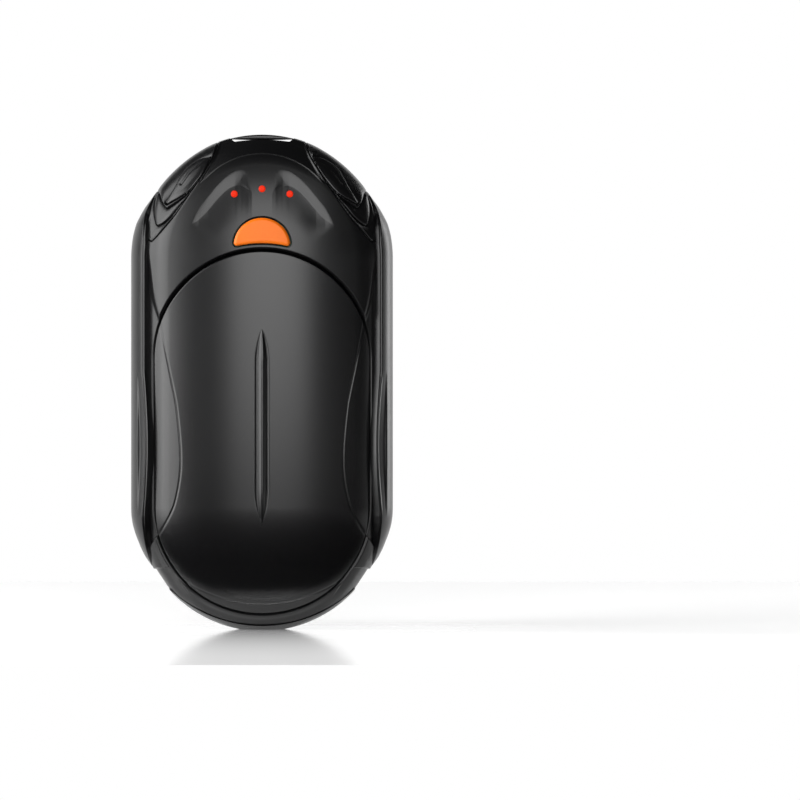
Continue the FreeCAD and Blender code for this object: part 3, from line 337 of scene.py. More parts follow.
# Four nested scales cover each upper corner like tiles, domed, with their free edges towards the forehead.
# Fine grooves part them, and the innermost is a leaf with a streak along its back.
scale_dip, scale_heel = 0.5, 0.2
groove_depth, groove_width = 0.16, 0.1
rim_rise, rim_place, rim_width = 0.07, 0.3, 0.1
leaf_dome, leaf_sink, streak_depth, streak_width = 0.12, 0.1, 0.14, 0.3
scale_flank = [(-8.8, 97.3), (-9.8, 94.9), (-11.1, 92.6), (-12.6, 90.1), (-14.2, 87.8)]
scale_edges = [
    flowing(
        scale_flank
        + [(-15.5, 85.7), (-17.8, 82.4), (-19.8, 80.0), (-21.8, 77.8), (-22.5, 77.6), (-23.2, 78.5)]
        + [(-23.4, 80.0), (-23.2, 81.2), (-22.7, 83.0), (-22.3, 84.7), (-21.7, 86.2), (-21.0, 87.3)]
    ),
    flowing(
        scale_flank
        + [(-15.1, 86.5), (-15.8, 85.7), (-17.1, 84.2), (-18.4, 82.6), (-19.8, 81.4), (-21.1, 80.8)]
        + [(-21.6, 81.8), (-21.8, 83.6), (-21.6, 85.5), (-21.0, 87.3)]
    ),
    flowing(
        scale_flank
        + [(-14.8, 87.4), (-15.7, 86.7), (-17.2, 85.6), (-18.7, 84.6), (-19.2, 84.3), (-19.8, 84.9)]
        + [(-20.3, 85.9), (-20.7, 87.2), (-20.9, 87.6)]
    ),
    flowing(
        [(-10.3, 94.9), (-11.7, 92.0), (-13.4, 89.5), (-14.9, 87.7), (-16.3, 86.7)]
        + [(-17.8, 85.9), (-19.3, 85.2), (-18.9, 86.3), (-17.8, 88.3), (-16.6, 90.5)]
        + [(-15.4, 92.4), (-12.8, 94.2), (-10.3, 94.9)]
    ),
]
leaf_streak = flowing([(-10.8, 94.3), (-12.6, 93.2), (-14.7, 91.4), (-16.3, 89.2)])
beyond_corner = np.array([(-25.0, 93.0), (-18.0, 101.0), (-8.0, 102.0)])


def scale_lift(x, z):
    """Lift of the skin over the corner scales."""
    side = -np.abs(x)
    lift = np.zeros(x.shape)
    near = (z > 76) & (side < -7)
    sx, sz = side[near], z[near]
    gaps = [line_gap(edge, sx, sz) for edge in scale_edges]
    held = [within(np.vstack([edge, beyond_corner]), sx, sz) for edge in scale_edges[:3]]
    held.append(within(scale_edges[3], sx, sz))
    part = np.zeros(sx.shape)
    for number in range(3):
        rooted = gaps[number + 1] / (gaps[number] + gaps[number + 1] + 1e-6)
        part = np.where(held[number], -scale_dip * (1 - rooted) ** 2 - scale_heel * rooted**6, part)
    streak = streak_depth * soft_line(line_gap(leaf_streak, sx, sz), streak_width)
    leaf = leaf_dome * smoothstep(0.0, 1.0, gaps[3]) - streak
    part = np.where(held[3], leaf - leaf_sink, part)
    for gap in gaps:
        part -= groove_depth * soft_line(gap, groove_width)
    part += rim_rise * soft_line(gaps[0] - rim_place, rim_width) * held[0]
    forward = section(spine_distance(sx, sz))[2]
    lift[near] = part * smoothstep(-0.4, 0.4, forward)
    return lift


# Brow hollows: two scoops that shelter the lights, soft along the forehead and crisp at the floor.
# Their floors dip towards the nose strip between them.
brow_edge = flowing(
    [(-14.6, 80.6), (-14.1, 81.8), (-12.7, 84.3), (-10.9, 86.5), (-9.1, 88.7), (-7.3, 90.5), (-5.5, 91.7)]
    + [(-3.9, 92.0), (-2.8, 91.4), (-2.2, 89.6), (-2.0, 85.0), (-2.0, 79.5)]
)
brow_foot = flowing(
    [(-14.5, 80.7), (-12.7, 82.0), (-10.9, 83.9), (-9.1, 86.1), (-7.3, 87.9), (-5.5, 88.9), (-4.2, 88.8)]
    + [(-3.2, 88.3), (-2.0, 87.4)]
)
brow_width_x = [-14.5, -12.7, -10.9, -9.1, -7.3, -5.5, -4.2, -3.4, -2.7, -2.0]
brow_width = [0.0, 1.1, 1.6, 1.75, 1.9, 2.0, 1.55, 1.0, 0.42, 0.0]
brow_slope, brow_ease, brow_floor_run = 0.21, 0.14, 9.0
brow_low, brow_high, brow_full = 76.6, 94, 82.5
brow_reach = np.vstack([brow_edge, [(-2.0, brow_low), (-15.4, brow_low)]])


def brow_lift(x, z):
    """Lift of the skin in the brow hollows, which run out towards their tails and down the forehead."""
    side = -np.abs(x)
    lift = np.zeros(x.shape)
    near = (z > brow_low) & (z < brow_high) & (side > -16)
    sx, sz = side[near], z[near]
    edge_gap, foot_gap = line_gap(brow_edge, sx, sz), line_gap(brow_foot, sx, sz)
    width = np.interp(sx, brow_width_x, brow_width)
    under = np.interp(sx, brow_foot[:, 0], brow_foot[:, 1]) - sz
    share = edge_gap / (edge_gap + foot_gap + 1e-6)
    band = share**2 / ((1 - brow_ease) * share + brow_ease)
    floor = 1 - smoothstep(0.0, brow_floor_run, under)
    fade_low = np.interp(sx, [-14.5, -9.5], [80.0, 76.8])
    depth = brow_slope * width * np.where(under < 0, band, floor) * smoothstep(fade_low, brow_full, sz)
    lift[near] = np.where(within(brow_reach, sx, sz), -depth, 0.0)
    return lift


# The crest above the brows is stepped back along an arc with a fine bead, from scale to scale.
crest_z, crest_radius, crest_step = 79.9, 15.5, 0.45
bead_rise, bead_width = 0.08, 0.17


def crest_lift(x, z):
    lift = np.zeros(x.shape)
    over = np.hypot(x, z - crest_z) - crest_radius
    near = (z > 87) & (over > -1)
    sx, sz, past = -np.abs(x[near]), z[near], over[near]
    corner = within(np.vstack([scale_edges[0], beyond_corner]), sx, sz)
    beside = np.where(corner, 0.0, line_gap(scale_edges[0], sx, sz))
    step = crest_step * smoothstep(0.05, 0.32, past) - bead_rise * soft_line(past, bead_width)
    forward = section(spine_distance(sx, sz))[2]
    reach = smoothstep(0.05, 0.5, beside) * smoothstep(89.0, 90.8, sz)
    lift[near] = -step * reach * smoothstep(0.1, 0.4, forward)
    return lift


# A channel runs between the forehead's flank and the side grip, and a seam closes it at the hip.
channel_depth, channel_low, channel_high = 0.55, 21, 60
flank_edge = flowing(
    [(-23.9, 79.0), (-23.5, 75.8), (-22.9, 71.5), (-22.3, 67.0), (-21.6, 64.0), (-20.6, 61.0)]
)
hip_seam = flowing([(-19.6, 21.0), (-20.3, 20.1), (-21.8, 17.7), (-23.3, 15.2), (-24.0, 14.0)])


def channel_lift(x, z):
    side = -np.abs(x)
    flank_x = np.interp(z, flank_edge[::-1, 1], flank_edge[::-1, 0])
    hip_x = np.interp(z, hip_seam[::-1, 1], hip_seam[::-1, 0])
    past_flank = smoothstep(-0.9, 0.4, flank_x - side) * (1 - smoothstep(77.5, 79.5, z))
    past_hip = smoothstep(-0.1, 0.35, hip_x - side) * smoothstep(13.5, 17, z)
    beside_panel = (z < channel_high) & (z > channel_low)
    return -channel_depth * (past_flank * (z >= channel_high) + beside_panel + past_hip * (z <= channel_low))


# The chin below the grips is hollowed along the panel, and has a finger scoop at each lower corner.
hollow_r, hollow_depth, hollow_width = 23.3, 0.16, 0.5
lip_r, lip_rise, lip_width = 24.1, 0.05, 0.12
scoop_depth = 0.42
scoop = np.array([(-18.7, 12.2), (-21.6, 12.2), (-22.6, 10.0), (-18.2, 6.0), (-13.2, 5.0), (-15.6, 8.2)])


def chin_lift(x, z):
    side = -np.abs(x)
    low = 1 - smoothstep(10, 17, z)
    r = spine_distance(x, z)
    lip = lip_rise * soft_line(r - lip_r, lip_width)
    hollow = -hollow_depth * soft_line(r - hollow_r, hollow_width) + lip
    lift = low * hollow * (1 - smoothstep(11, 15, np.abs(x)))
    near = (z > 3) & (z < 14) & (side < -12)
    sx, sz = side[near], z[near]
    inside = within(scoop, sx, sz)
    gap = line_gap(np.vstack([scoop, scoop[:1]]), sx, sz)
    depth = scoop_depth * smoothstep(0.0, 0.28, np.where(inside, gap, 0.0))
    lift[near] -= depth * smoothstep(5.6, 10.5, sz)
    return lift


# Each shell's skin is a grid of rays from the panel's opening to the case's outline, closed round its edge.
# The rays stand closest at the hips and under the scales, where the relief is finest.
opening_half, opening_high = 22.1, 53.6
low_columns, side_columns, hip_turn, corner_run = 320, 40, 0.96, 31
wall, ledge_width, ray_samples = 1.9, 1.3, 260
rim_rounding, toe_rounding, rim_run = 0.3, 0.06, 0.35
parting_depth, parting_width, parting_half = 0.2, 0.16, 0.02
toe_blend = 5.0, 13.0


def case_rays(top_count):
    """Pairs of front-view places on the panel's opening and on the case's outline, all the way round."""
    low_marks = [math.pi, math.pi + hip_turn, 2 * math.pi - hip_turn, 2 * math.pi]
    low = np.interp(np.linspace(0, 1, low_columns, endpoint=False), [0, 0.4, 0.6, 1], low_marks)
    rise = np.linspace(low_centre, opening_high, side_columns, endpoint=False)
    fall = rise[::-1] + (opening_high - low_centre) / side_columns
    straight = high_centre - opening_high
    reach = 2 * straight + math.pi * case_half
    marks = [0, straight, straight + corner_run, reach - straight - corner_run, reach - straight, reach]
    weights = np.cumsum([0, 0.07, 0.37, 0.12, 0.37, 0.07])
    path = np.interp(np.linspace(0, 1, top_count, endpoint=False), weights, marks)
    bow = math.pi * (path / reach)
    turn = np.clip((path - straight) / case_half, 0, math.pi)
    down = np.clip(path - straight - math.pi * case_half, 0, None)
    up = np.clip(path, 0, straight)
    rings = []
    for half, angle, base in ((opening_half, bow, opening_high), (case_half, turn, opening_high + up - down)):
        foot = np.stack([half * np.cos(low), low_centre + half * np.sin(low)], -1)
        right = np.stack([np.full(side_columns, half), rise], -1)
        top = np.stack([half * np.cos(angle), base + half * np.sin(angle)], -1)
        left = np.stack([np.full(side_columns, -half), fall], -1)
        rings.append(np.vstack([foot, right, top, left]))
    return rings


def along_rays(inner, outer, share):
    """Front-view places at a share of the way along each ray."""
    ray = outer - inner
    return inner[:, :1] + ray[:, :1] * share, inner[:, 1:] + ray[:, 1:] * share


def shell_points(relief, top_count, rows):
    """A closed ring of skin from the panel's opening to the parting line, and back along the inside."""
    inner, outer = case_rays(top_count)
    share = np.linspace(0, 1, ray_samples)
    path = skin(*along_rays(inner, outer, share), 0.0)
    steps = np.linalg.norm(np.diff(path, axis=1), axis=2)
    length = np.concatenate([np.zeros((len(path), 1)), np.cumsum(steps, axis=1)], axis=1)
    even = np.linspace(0, 1, rows)
    x, z = along_rays(inner, outer, np.stack([np.interp(even * one[-1], one, share) for one in length]))
    from_opening = even * length[:, -1:]
    from_parting = length[:, -1:] - from_opening
    lift = relief(*as_seen(x, z)) + barrel(x, z)
    rounding = rim_rounding - (rim_rounding - toe_rounding) * (1 - smoothstep(*toe_blend, inner[:, 1:]))
    lift -= rounding * np.clip(1 - from_opening / rim_run, 0, 1) ** 2
    lift -= parting_depth * soft_line(from_parting, parting_width)
    outside = skin(x, z, lift)
    # back along the inside, and round a ledge that carries the panel's rim
    back = np.concatenate([np.linspace(1, 0, 9), [-1, -1, 0]])
    depth = -wall - np.concatenate([np.full(9, 0.4), [1.3, 0.7, 0.7]])
    middle_line = np.stack([np.zeros(len(inner)), np.clip(inner[:, 1], low_centre, opening_high)], -1)
    ledge = ledge_width * (inner - middle_line) / opening_half
    x, z = along_rays(inner, outer, np.clip(back, 0, 1))
    x = x + ledge[:, :1] * np.minimum(back, 0)
    z = z + ledge[:, 1:] * np.minimum(back, 0)
    inside = skin(x, z, depth + barrel(x, z))
    points = np.concatenate([outside, inside], axis=1)
    points[..., 1] = np.minimum(points[..., 1], -parting_half)
    return points


def grid_faces(rounds, rows, rounds_meet=True, rows_meet=True):
    """Quads of a grid of points, which can close on itself either way."""
    round_count, row_count = rounds - (not rounds_meet), rows - (not rows_meet)
    i, j = np.meshgrid(np.arange(round_count), np.arange(row_count), indexing="ij")
    next_i, next_j = (i + 1) % rounds, (j + 1) % rows
    corners = [i * rows + j, next_i * rows + j, next_i * rows + next_j, i * rows + next_j]
    return np.stack(corners, axis=-1).reshape(-1, 4)


# moulding off a spark-eroded tool gives black ABS a soft, even sheen with drifting highlights
satin_abs = new_material("black ABS, satin moulded")
place = add_node(satin_abs, "TexCoord")
# spark-eroded grain of 0.12 mm is too fine to show, so it is drawn at 0.3 mm
grain = add_node(
    satin_abs, "TexNoise", {"Vector": place.outputs["Object"], "Scale": 1 / 0.0003, "Detail": 2.0}
)
# handling polish drifts over patches of about 12 mm
polish = add_node(
    satin_abs, "TexNoise", {"Vector": place.outputs["Object"], "Scale": 1 / 0.012, "Detail": 3.0}
)
gloss = add_node(
    satin_abs,
    "MapRange",
    {"Value": polish.outputs["Fac"], "From Min": 0.3, "From Max": 0.7, "To Min": 0.27, "To Max": 0.32},
)
relief = add_node(
    satin_abs, "Bump", {"Height": grain.outputs["Fac"], "Strength": 0.05, "Distance": 0.00002}
)
body = add_node(
    satin_abs,
    "BsdfPrincipled",
    {
        "Base Color": linear("#0B0B0C"),
        "Roughness": gloss.outputs[0],
        "IOR": 1.46,
        "Normal": relief.outputs["Normal"],
    },
)
add_node(satin_abs, "OutputMaterial", {"Surface": body.outputs[0]})


def front_relief(x, z):
    return scale_lift(x, z) + brow_lift(x, z) + crest_lift(x, z) + channel_lift(x, z) + chin_lift(x, z)


def cut_out(piece, tools):
    """Cuts closed tool meshes out of a piece and throws the tools away."""
    for tool in tools:
        cutter = piece.modifiers.new("cut", "BOOLEAN")
        cutter.operation = "DIFFERENCE"
        cutter.solver = "EXACT"
        cutter.object = tool
    whole = piece.evaluated_get(bpy.context.evaluated_depsgraph_get())
    mesh = bpy.data.meshes.new_from_object(whole)
    piece.modifiers.clear()
    piece.data = mesh
    mesh.set_sharp_from_angle(angle=math.radians(35))
    for tool in tools:
        bpy.data.objects.remove(tool)


def pulled(name, outline, front, back, material):
    """A closed prism from a front-view outline, pulled along Y."""
    count = len(outline)
    points = [(x, front, z) for x, z in outline] + [(x, back, z) for x, z in outline]
    faces = [(i, (i + 1) % count, (i + 1) % count + count, i + count) for i in range(count)]
    faces += [tuple(range(count))[::-1], tuple(range(count, 2 * count))]
    return put_mesh(name, points, faces, material)


def arc(radius, centre, start, end, count):
    """Front-view places along an arc between two angles in degrees."""
    angles = np.radians(np.linspace(start, end, count))
    return [(centre[0] + radius * math.cos(a), centre[1] + radius * math.sin(a)) for a in angles]


cap_radius, cap_z = 5.6, 76.2
cap_foot_radius, cap_corner, button_gap = 23.2, 0.6, 0.4


def button_outline(grow):
    """Half-moon of the button, counter-clockwise, with rounded lower corners."""
    cap, low, corner = cap_radius + grow, cap_foot_radius - grow, cap_corner + grow
    low_z = opening_high
    inner, outer = cap - corner, low + corner
    z = (outer**2 - inner**2 + cap_z**2 - low_z**2) / (2 * (cap_z - low_z))
    x = math.sqrt(inner**2 - (z - cap_z) ** 2)
    up = math.degrees(math.atan2(z - cap_z, x))
    down = math.degrees(math.atan2(z - low_z, x))
    right = arc(corner, (x, z), down - 180, up, 14)
    top = arc(cap, (0, cap_z), up, 180 - up, 90)[1:-1]
    left = arc(corner, (-x, z), 180 - up, 360 - down, 14)
    foot = arc(low, (0, low_z), 180 - down, down, 40)[1:-1]
    return right + top + left + foot


lights = {"left": (-5.5, 86.6), "centre": (0.0, 87.6), "right": (5.5, 86.6)}
light_hole, light_radius, hole_sides = 0.7, 0.65, 32
seat_radius, seat_z, bay_left, bay_right, bay_half = 27.1, 28.0, -18.46, 18.71, 9
slot_half, slot_floor, slot_crown, slot_rise = 6.4, 97.15, 0.5, 0.85
beyond_front, beyond_top, beyond_foot = 16, 102.0, -3.0


def seat_height(x):
    """Height of the bay's roof, which the port cover closes against."""
    return seat_z - math.sqrt(seat_radius**2 - x**2)


def shell_tools():
    """Slot under the lanyard bar and the bay of the port cover, which both shells share."""
    slot_x = np.linspace(-slot_half, slot_half, 41)
    rise = slot_rise * smoothstep(slot_half - 1, slot_half, np.abs(slot_x))
    floor = list(zip(slot_x, slot_floor + slot_crown * (1 - (slot_x / slot_half) ** 2) + rise))
    slot = floor + [(slot_half, beyond_top), (-slot_half, beyond_top)]
    roof = [(x, seat_height(x)) for x in np.linspace(bay_left, bay_right, 60)[::-1]]
    bay = [(bay_left, beyond_foot), (bay_right, beyond_foot)] + roof
    return [
        pulled("slot_tool", slot, -beyond_front, beyond_front, satin_abs),
        pulled("bay_tool", bay, -bay_half, bay_half, satin_abs),
    ]


points = shell_points(front_relief, 900, 230)
front_shell = put_mesh("front_shell_skin", points.reshape(-1, 3), grid_faces(*points.shape[:2]), satin_abs)
tools = shell_tools()
tools.append(pulled("button_tool", button_outline(button_gap), -beyond_front, -9, satin_abs))
for spot, middle in lights.items():
    hole = arc(light_hole, middle, 0, 360 - 360 / hole_sides, hole_sides)
    tools.append(pulled(f"light_{spot}_tool", hole, -beyond_front, -8, satin_abs))
cut_out(front_shell, tools)
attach(front_shell, "case")
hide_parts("front_shell")


# Rear shell: the other half of the case, the same moulding without the forehead's holes and brows.
# It meets the front shell at the parting line with a fine shadow gap.
def rear_relief(x, z):
    return scale_lift(x, z) + crest_lift(x, z) + channel_lift(x, z) + chin_lift(x, z)


points = shell_points(rear_relief, 640, 170) * np.array([1, -1, 1])
rear_faces = grid_faces(*points.shape[:2])[:, ::-1]
rear_shell = put_mesh("rear_shell_skin", points.reshape(-1, 3), rear_faces, satin_abs)
cut_out(rear_shell, shell_tools())
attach(rear_shell, "case")
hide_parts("rear_shell")

# Heat panels: pressed aluminium plates with a baked satin black coat, set a little below the shells.
# The front one carries a spindle rib; on both, a soft crease swells in from each long side.

# a baked coat over pressed metal gives an even satin black with a fine orange peel
coated = new_material("aluminium, satin black coat")
place = add_node(coated, "TexCoord")
# the coat's orange peel of 0.1 mm, drawn at 0.25 mm so that it shows, a little longer upright
stretch = add_node(
    coated,
    "Mapping",
    {"Vector": place.outputs["Object"], "Scale": (1 / 0.00025, 1 / 0.00025, 1 / 0.0006)},
)
brush = add_node(coated, "TexNoise", {"Vector": stretch.outputs[0], "Scale": 1.0, "Detail": 2.0})
gloss = add_node(
    coated,
    "MapRange",
    {"Value": brush.outputs["Fac"], "From Min": 0.25, "From Max": 0.75, "To Min": 0.262, "To Max": 0.274},
)
relief = add_node(
    coated, "Bump", {"Height": brush.outputs["Fac"], "Strength": 0.02, "Distance": 0.000005}
)
body = add_node(
    coated,
    "BsdfPrincipled",
    {
        "Base Color": linear("#09090A"),
        "Roughness": gloss.outputs[0],
        "IOR": 1.5,
        "Normal": relief.outputs["Normal"],
    },
)
add_node(coated, "OutputMaterial", {"Surface": body.outputs[0]})

panel_crease = flowing(
    [(-21.9, 65.0), (-20.9, 62.1), (-19.2, 53.9), (-17.6, 46.4), (-17.0, 42.1), (-16.5, 36.0), (-16.6, 31.0)]
    + [(-17.4, 26.4), (-18.4, 23.4), (-20.3, 20.1), (-21.6, 18.2)]
)
crease_depth, crease_width, crease_fall = 0.11, 0.13, 0.05
toe_z, toe_radius, toe_depth, toe_width, toe_fall = 34.6, 30.0, 0.12, 0.14, 0.1
rib_low, rib_high, rib_half, rib_rise, rib_nose = 20.9, 60.2, 0.95, 0.55, 7.0
rib_groove, rib_flat = 0.16, 0.24
panel_half, panel_taper, panel_toe = 22.0, 0.35, 0.03
panel_sink, panel_toe_rise, panel_depth, panel_edge = 0.5, 0.36, 1.6, 0.2
panel_arc_columns, panel_side_columns = 200, 130


def panel_relief(x, z, ribbed):
    """Lift of the plate's face along its creases, its toe line and its rib."""
    side = -np.abs(x)
    crease_x = np.interp(z, panel_crease[::-1, 1], panel_crease[::-1, 0], left=-30, right=-30)
    past = crease_x - side
    lift = -crease_fall * np.clip(past, 0, None) - crease_depth * soft_line(past, crease_width)
    over_toe = np.hypot(x, z - toe_z) - toe_radius
    lift -= (toe_fall * np.clip(over_toe, 0, 3) + toe_depth * soft_line(over_toe, toe_width)) * (z < 20)
    if ribbed:
        low_nose = 1 - np.clip((z - rib_low) / rib_nose, 0, 1)
        high_nose = 1 - np.clip((rib_high - z) / rib_nose, 0, 1)
        half = rib_half * (1 - low_nose**2) * (1 - high_nose**2) + 1e-6
        across = np.abs(x) / half
        lift += rib_rise * half / rib_half * np.clip((1 - across) / (1 - rib_flat), 0, 1)
        lift -= rib_groove * half / rib_half * soft_line(across - 1.15, 0.3)
    return lift


def panel_points(ribbed, count):
    """A closed crowned plate, in rays from its middle line to its rim and back along its rear."""
    turn = np.linspace(0, math.pi, panel_arc_columns, endpoint=False)
    run = np.linspace(0, 1, panel_side_columns, endpoint=False) * (opening_high - low_centre)
    foot, head = np.full(panel_arc_columns, low_centre), np.full(panel_arc_columns, opening_high)
    ones = np.ones(panel_side_columns)
    centre = np.concatenate([foot, low_centre + run, head, opening_high - run])[:, None]
    way_x = np.concatenate([np.cos(math.pi + turn), ones, np.cos(turn), -ones])[:, None]
    way_z = np.concatenate([np.sin(math.pi + turn), 0 * ones, np.sin(turn), 0 * ones])[:, None]
    rim_z = centre + 21 * way_z
    rim = panel_half - panel_taper * smoothstep(opening_high, 70.0, rim_z)
    rim = rim + panel_toe * (1 - smoothstep(*toe_blend, rim_z))
    # closer steps over the rib, then even ones to the rounded rim
    even_end = panel_half - panel_taper
    fine = np.concatenate([np.linspace(0, 1.9, 22)[:-1], np.linspace(1.9, even_end, count)[:-1]])
    bevel = np.linspace(0, math.pi / 2, 7)
    out = np.concatenate([fine * (rim - panel_edge) / even_end, rim - panel_edge * np.cos(bevel)], 1)
    drop = np.concatenate([np.zeros(len(fine)), panel_edge * (1 - np.cos(bevel))])
    x, z = way_x * out, centre + way_z * out
    flush = panel_toe_rise * (1 - smoothstep(*toe_blend, z)) - panel_sink
    front = skin(x, z, flush - drop + barrel(x, z) + panel_relief(*as_seen(x, z), ribbed))
    out = np.linspace(1, 0, 8) * rim
    x, z = way_x * out, centre + way_z * out
    rear = skin(x, z, barrel(x, z) - panel_depth)
    return np.concatenate([front, rear], axis=1)


for face, ribbed, flip, count in (("front", True, 1, 170), ("rear", False, -1, 130)):
    points = panel_points(ribbed, count) * np.array([1, flip, 1])
    faces = grid_faces(*points.shape[:2], rows_meet=False)[:, ::flip]
    panel = put_mesh(f"{face}_heat_plate", points.reshape(-1, 3), faces, coated, 50)
    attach(panel, "case")
    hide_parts(f"{face}_heat_panel")

# Side grips: black ABS rails that wrap both flanks and stand proud of the case, bonded into its pockets.
# Each has a crisp front and rear ridge, and a leaf-shaped finger hollow in its lower half.
grip_z = [12.6, 14.6, 16.2, 17.8, 19.4, 21.0, 22.6, 78.6, 80.8, 82.4, 84.0, 85.6, 87.2]
grip_lift = [0.0, 0.4, 0.58, 0.72, 0.93, 1.1, 1.18, 1.18, 1.08, 0.8, 0.55, 0.2, 0.0]
ridge_z = [12.6, 15.5, 19.0, 22.4, 77.0, 80.0, 83.0, 87.2]
ridge_r = [25.0, 24.6, 24.1, 23.8, 23.8, 24.3, 24.9, 25.0]
grip_low_turn, grip_high_turn = -29, 32
low_rounds, side_rounds, high_rounds, grip_columns = 60, 200, 66, 121
finger_low, finger_run, finger_depth, finger_spread = 22.4, 29.0, 0.5, 0.7
grip_bed, ridge_fall, ridge_rounding = 0.95, 0.15, 0.3


def grip_points(side):
    """A closed rail in rounds from hip to shoulder, each across the flank and back along its bed."""
    low_turn = np.radians(np.linspace(grip_low_turn, 0, low_rounds, endpoint=False))
    high_turn = np.radians(np.linspace(0, grip_high_turn, high_rounds))
    rise = np.linspace(low_centre, high_centre, side_rounds, endpoint=False)
    centre = np.concatenate([np.full(low_rounds, low_centre), rise, np.full(high_rounds, high_centre)])
    turn = np.concatenate([low_turn, np.zeros(side_rounds), high_turn])
    z = centre + case_half * np.sin(turn)
    lift = np.interp(z, grip_z, grip_lift)
    finger = np.clip(np.sin(math.pi * np.clip((z - finger_low) / finger_run, 0, 1)), 0, 1)
    held = (z > finger_low) & (z < finger_low + finger_run)
    ridge = np.interp(z, ridge_z, ridge_r) - finger_spread * finger * held
    reach = np.arccos(np.clip((ridge - edge_centre) / (edge_radius + (1 - ridge_fall) * lift), -1, 0.9999))
    share = np.linspace(-1, 1, grip_columns)
    angle = reach[:, None] * share
    over = lift[:, None] * (1 - ridge_fall * share**2)
    r = edge_centre + (edge_radius + over) * np.cos(angle)
    hollow = smoothstep(0.0, 0.25, 24.9 - r) * smoothstep(1.0, 0.9, np.abs(share))
    over = over - finger_depth * finger[:, None] * hollow
    over = over - ridge_rounding * np.clip((np.abs(share) - 0.97) / 0.03, 0, 1) ** 2
    wall_angle = np.stack([reach + 0.02, reach + 0.035, reach + 0.04], 1)
    wall_lift = np.stack([0.55 * lift, 0.1 * lift - 0.2, np.full(len(z), -0.9)], 1)
    bed_angle = np.linspace(0.96, -0.96, 9) * reach[:, None]
    angle = np.concatenate([-wall_angle[:, ::-1], angle, wall_angle, bed_angle], 1)
    over = np.concatenate([wall_lift[:, ::-1], over, wall_lift, np.full(bed_angle.shape, -grip_bed)], 1)
    r = edge_centre + (edge_radius + over) * np.cos(angle)
    x = side * r * np.cos(turn)[:, None]
    y = -(edge_radius + over) * np.sin(angle)
    return np.stack([x, y, centre[:, None] + r * np.sin(turn)[:, None]], -1)


for side, way in (("left", -1), ("right", 1)):
    points = grip_points(way)
    rounds, rows = points.shape[:2]
    faces = list(grid_faces(rounds, rows, rounds_meet=False)[:, ::way])
    faces += [range(rows), range((rounds - 1) * rows, rounds * rows)]
    grip = put_mesh(f"{side}_grip_rail", points.reshape(-1, 3), faces, satin_abs, 40)
    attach(grip, "case")
    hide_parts(f"{side}_side_grip")


# Power button: a half-moon cap in orange ABS, moulded with a chamfer and a stem.
# It slides in the front shell's hole and rests on the switch behind it.
def clouded(name, patch, detail, shades, finish, bump=None):
    """A finish whose colour drifts between two shades, in patches of a size in millimetres."""
    material = new_material(name)
    place = add_node(material, "TexCoord")
    spread = {"Vector": place.outputs["Object"], "Scale": 1000 / patch, "Detail": detail}
    cloud = add_node(material, "TexNoise", spread)
    ends = {"Color1": linear(shades[0]), "Color2": linear(shades[1])}
    tone = add_node(material, "MixRGB", {"Fac": cloud.outputs["Fac"], **ends})
    inputs = {"Base Color": tone.outputs[0], **finish}
    if bump:
        relief = add_node(material, "Bump", {"Height": cloud.outputs["Fac"], **bump})
        inputs["Normal"] = relief.outputs["Normal"]
    body = add_node(material, "BsdfPrincipled", inputs)
    add_node(material, "OutputMaterial", {"Surface": body.outputs[0]})
    return material


# fine moulded ABS gives a clear, warm orange with a dull sheen
# its grain of 0.15 mm is drawn at 0.4 mm so that it shows
cap_grain = 0.4
orange_abs = clouded(
    "orange ABS, fine moulded",
    cap_grain,
    2.0,
    ("#E86A00", "#EC7208"),
    {"Roughness": 0.46, "IOR": 1.53, "Specular IOR Level": 0.3},
    bump={"Strength": 0.05, "Distance": 0.00002},
)

# inset and lift of each round up the stem and over the chamfer, then even rounds to the middle
cap_rounds = [(0.0, -3.0), (0.0, 0.02), (0.04, 0.1), (0.4, 0.36), (0.48, 0.38), (0.62, 0.38)]
cap_middle = np.array([0.0, 79.0])
outlines = [(np.array(button_outline(-inset)), lift) for inset, lift in cap_rounds]
last, last_lift = outlines[-1]
for share in np.linspace(0.88, 0.06, 14):
    outlines.append((cap_middle + (last - cap_middle) * share, last_lift))
points = []
for outline, lift in outlines:
    x, z = outline.T
    depth = skin(x, z, lift + barrel(x, z))[:, 1]
    points.append(np.stack([x, depth, z], -1))
rounds, rows = len(points), len(points[0])
points = np.vstack(points)
faces = list(grid_faces(rounds, rows, rounds_meet=False))
faces += [range(len(points) - rows, len(points)), range(rows)]
button = put_mesh("button_cap", points, faces, orange_abs, 30)
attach(button, "power_button")
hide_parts("power_button")

# Indicator lights: three clear red acrylic pipes, turned from rod with a domed tip.
# They are pressed flush into their holes and lit from the board behind.

# lit acrylic gives an even red glow with hardly any gloss
red_acrylic = new_material("red acrylic, lit")
body = add_node(
    red_acrylic,
    "BsdfPrincipled",
    {
        "Base Color": linear("#8A1604"),
        "Roughness": 0.5,
        "IOR": 1.49,
        "Specular IOR Level": 0.15,
        "Emission Color": linear("#F02C06"),
        "Emission Strength": 0.7,
    },
)
add_node(red_acrylic, "OutputMaterial", {"Surface": body.outputs[0]})
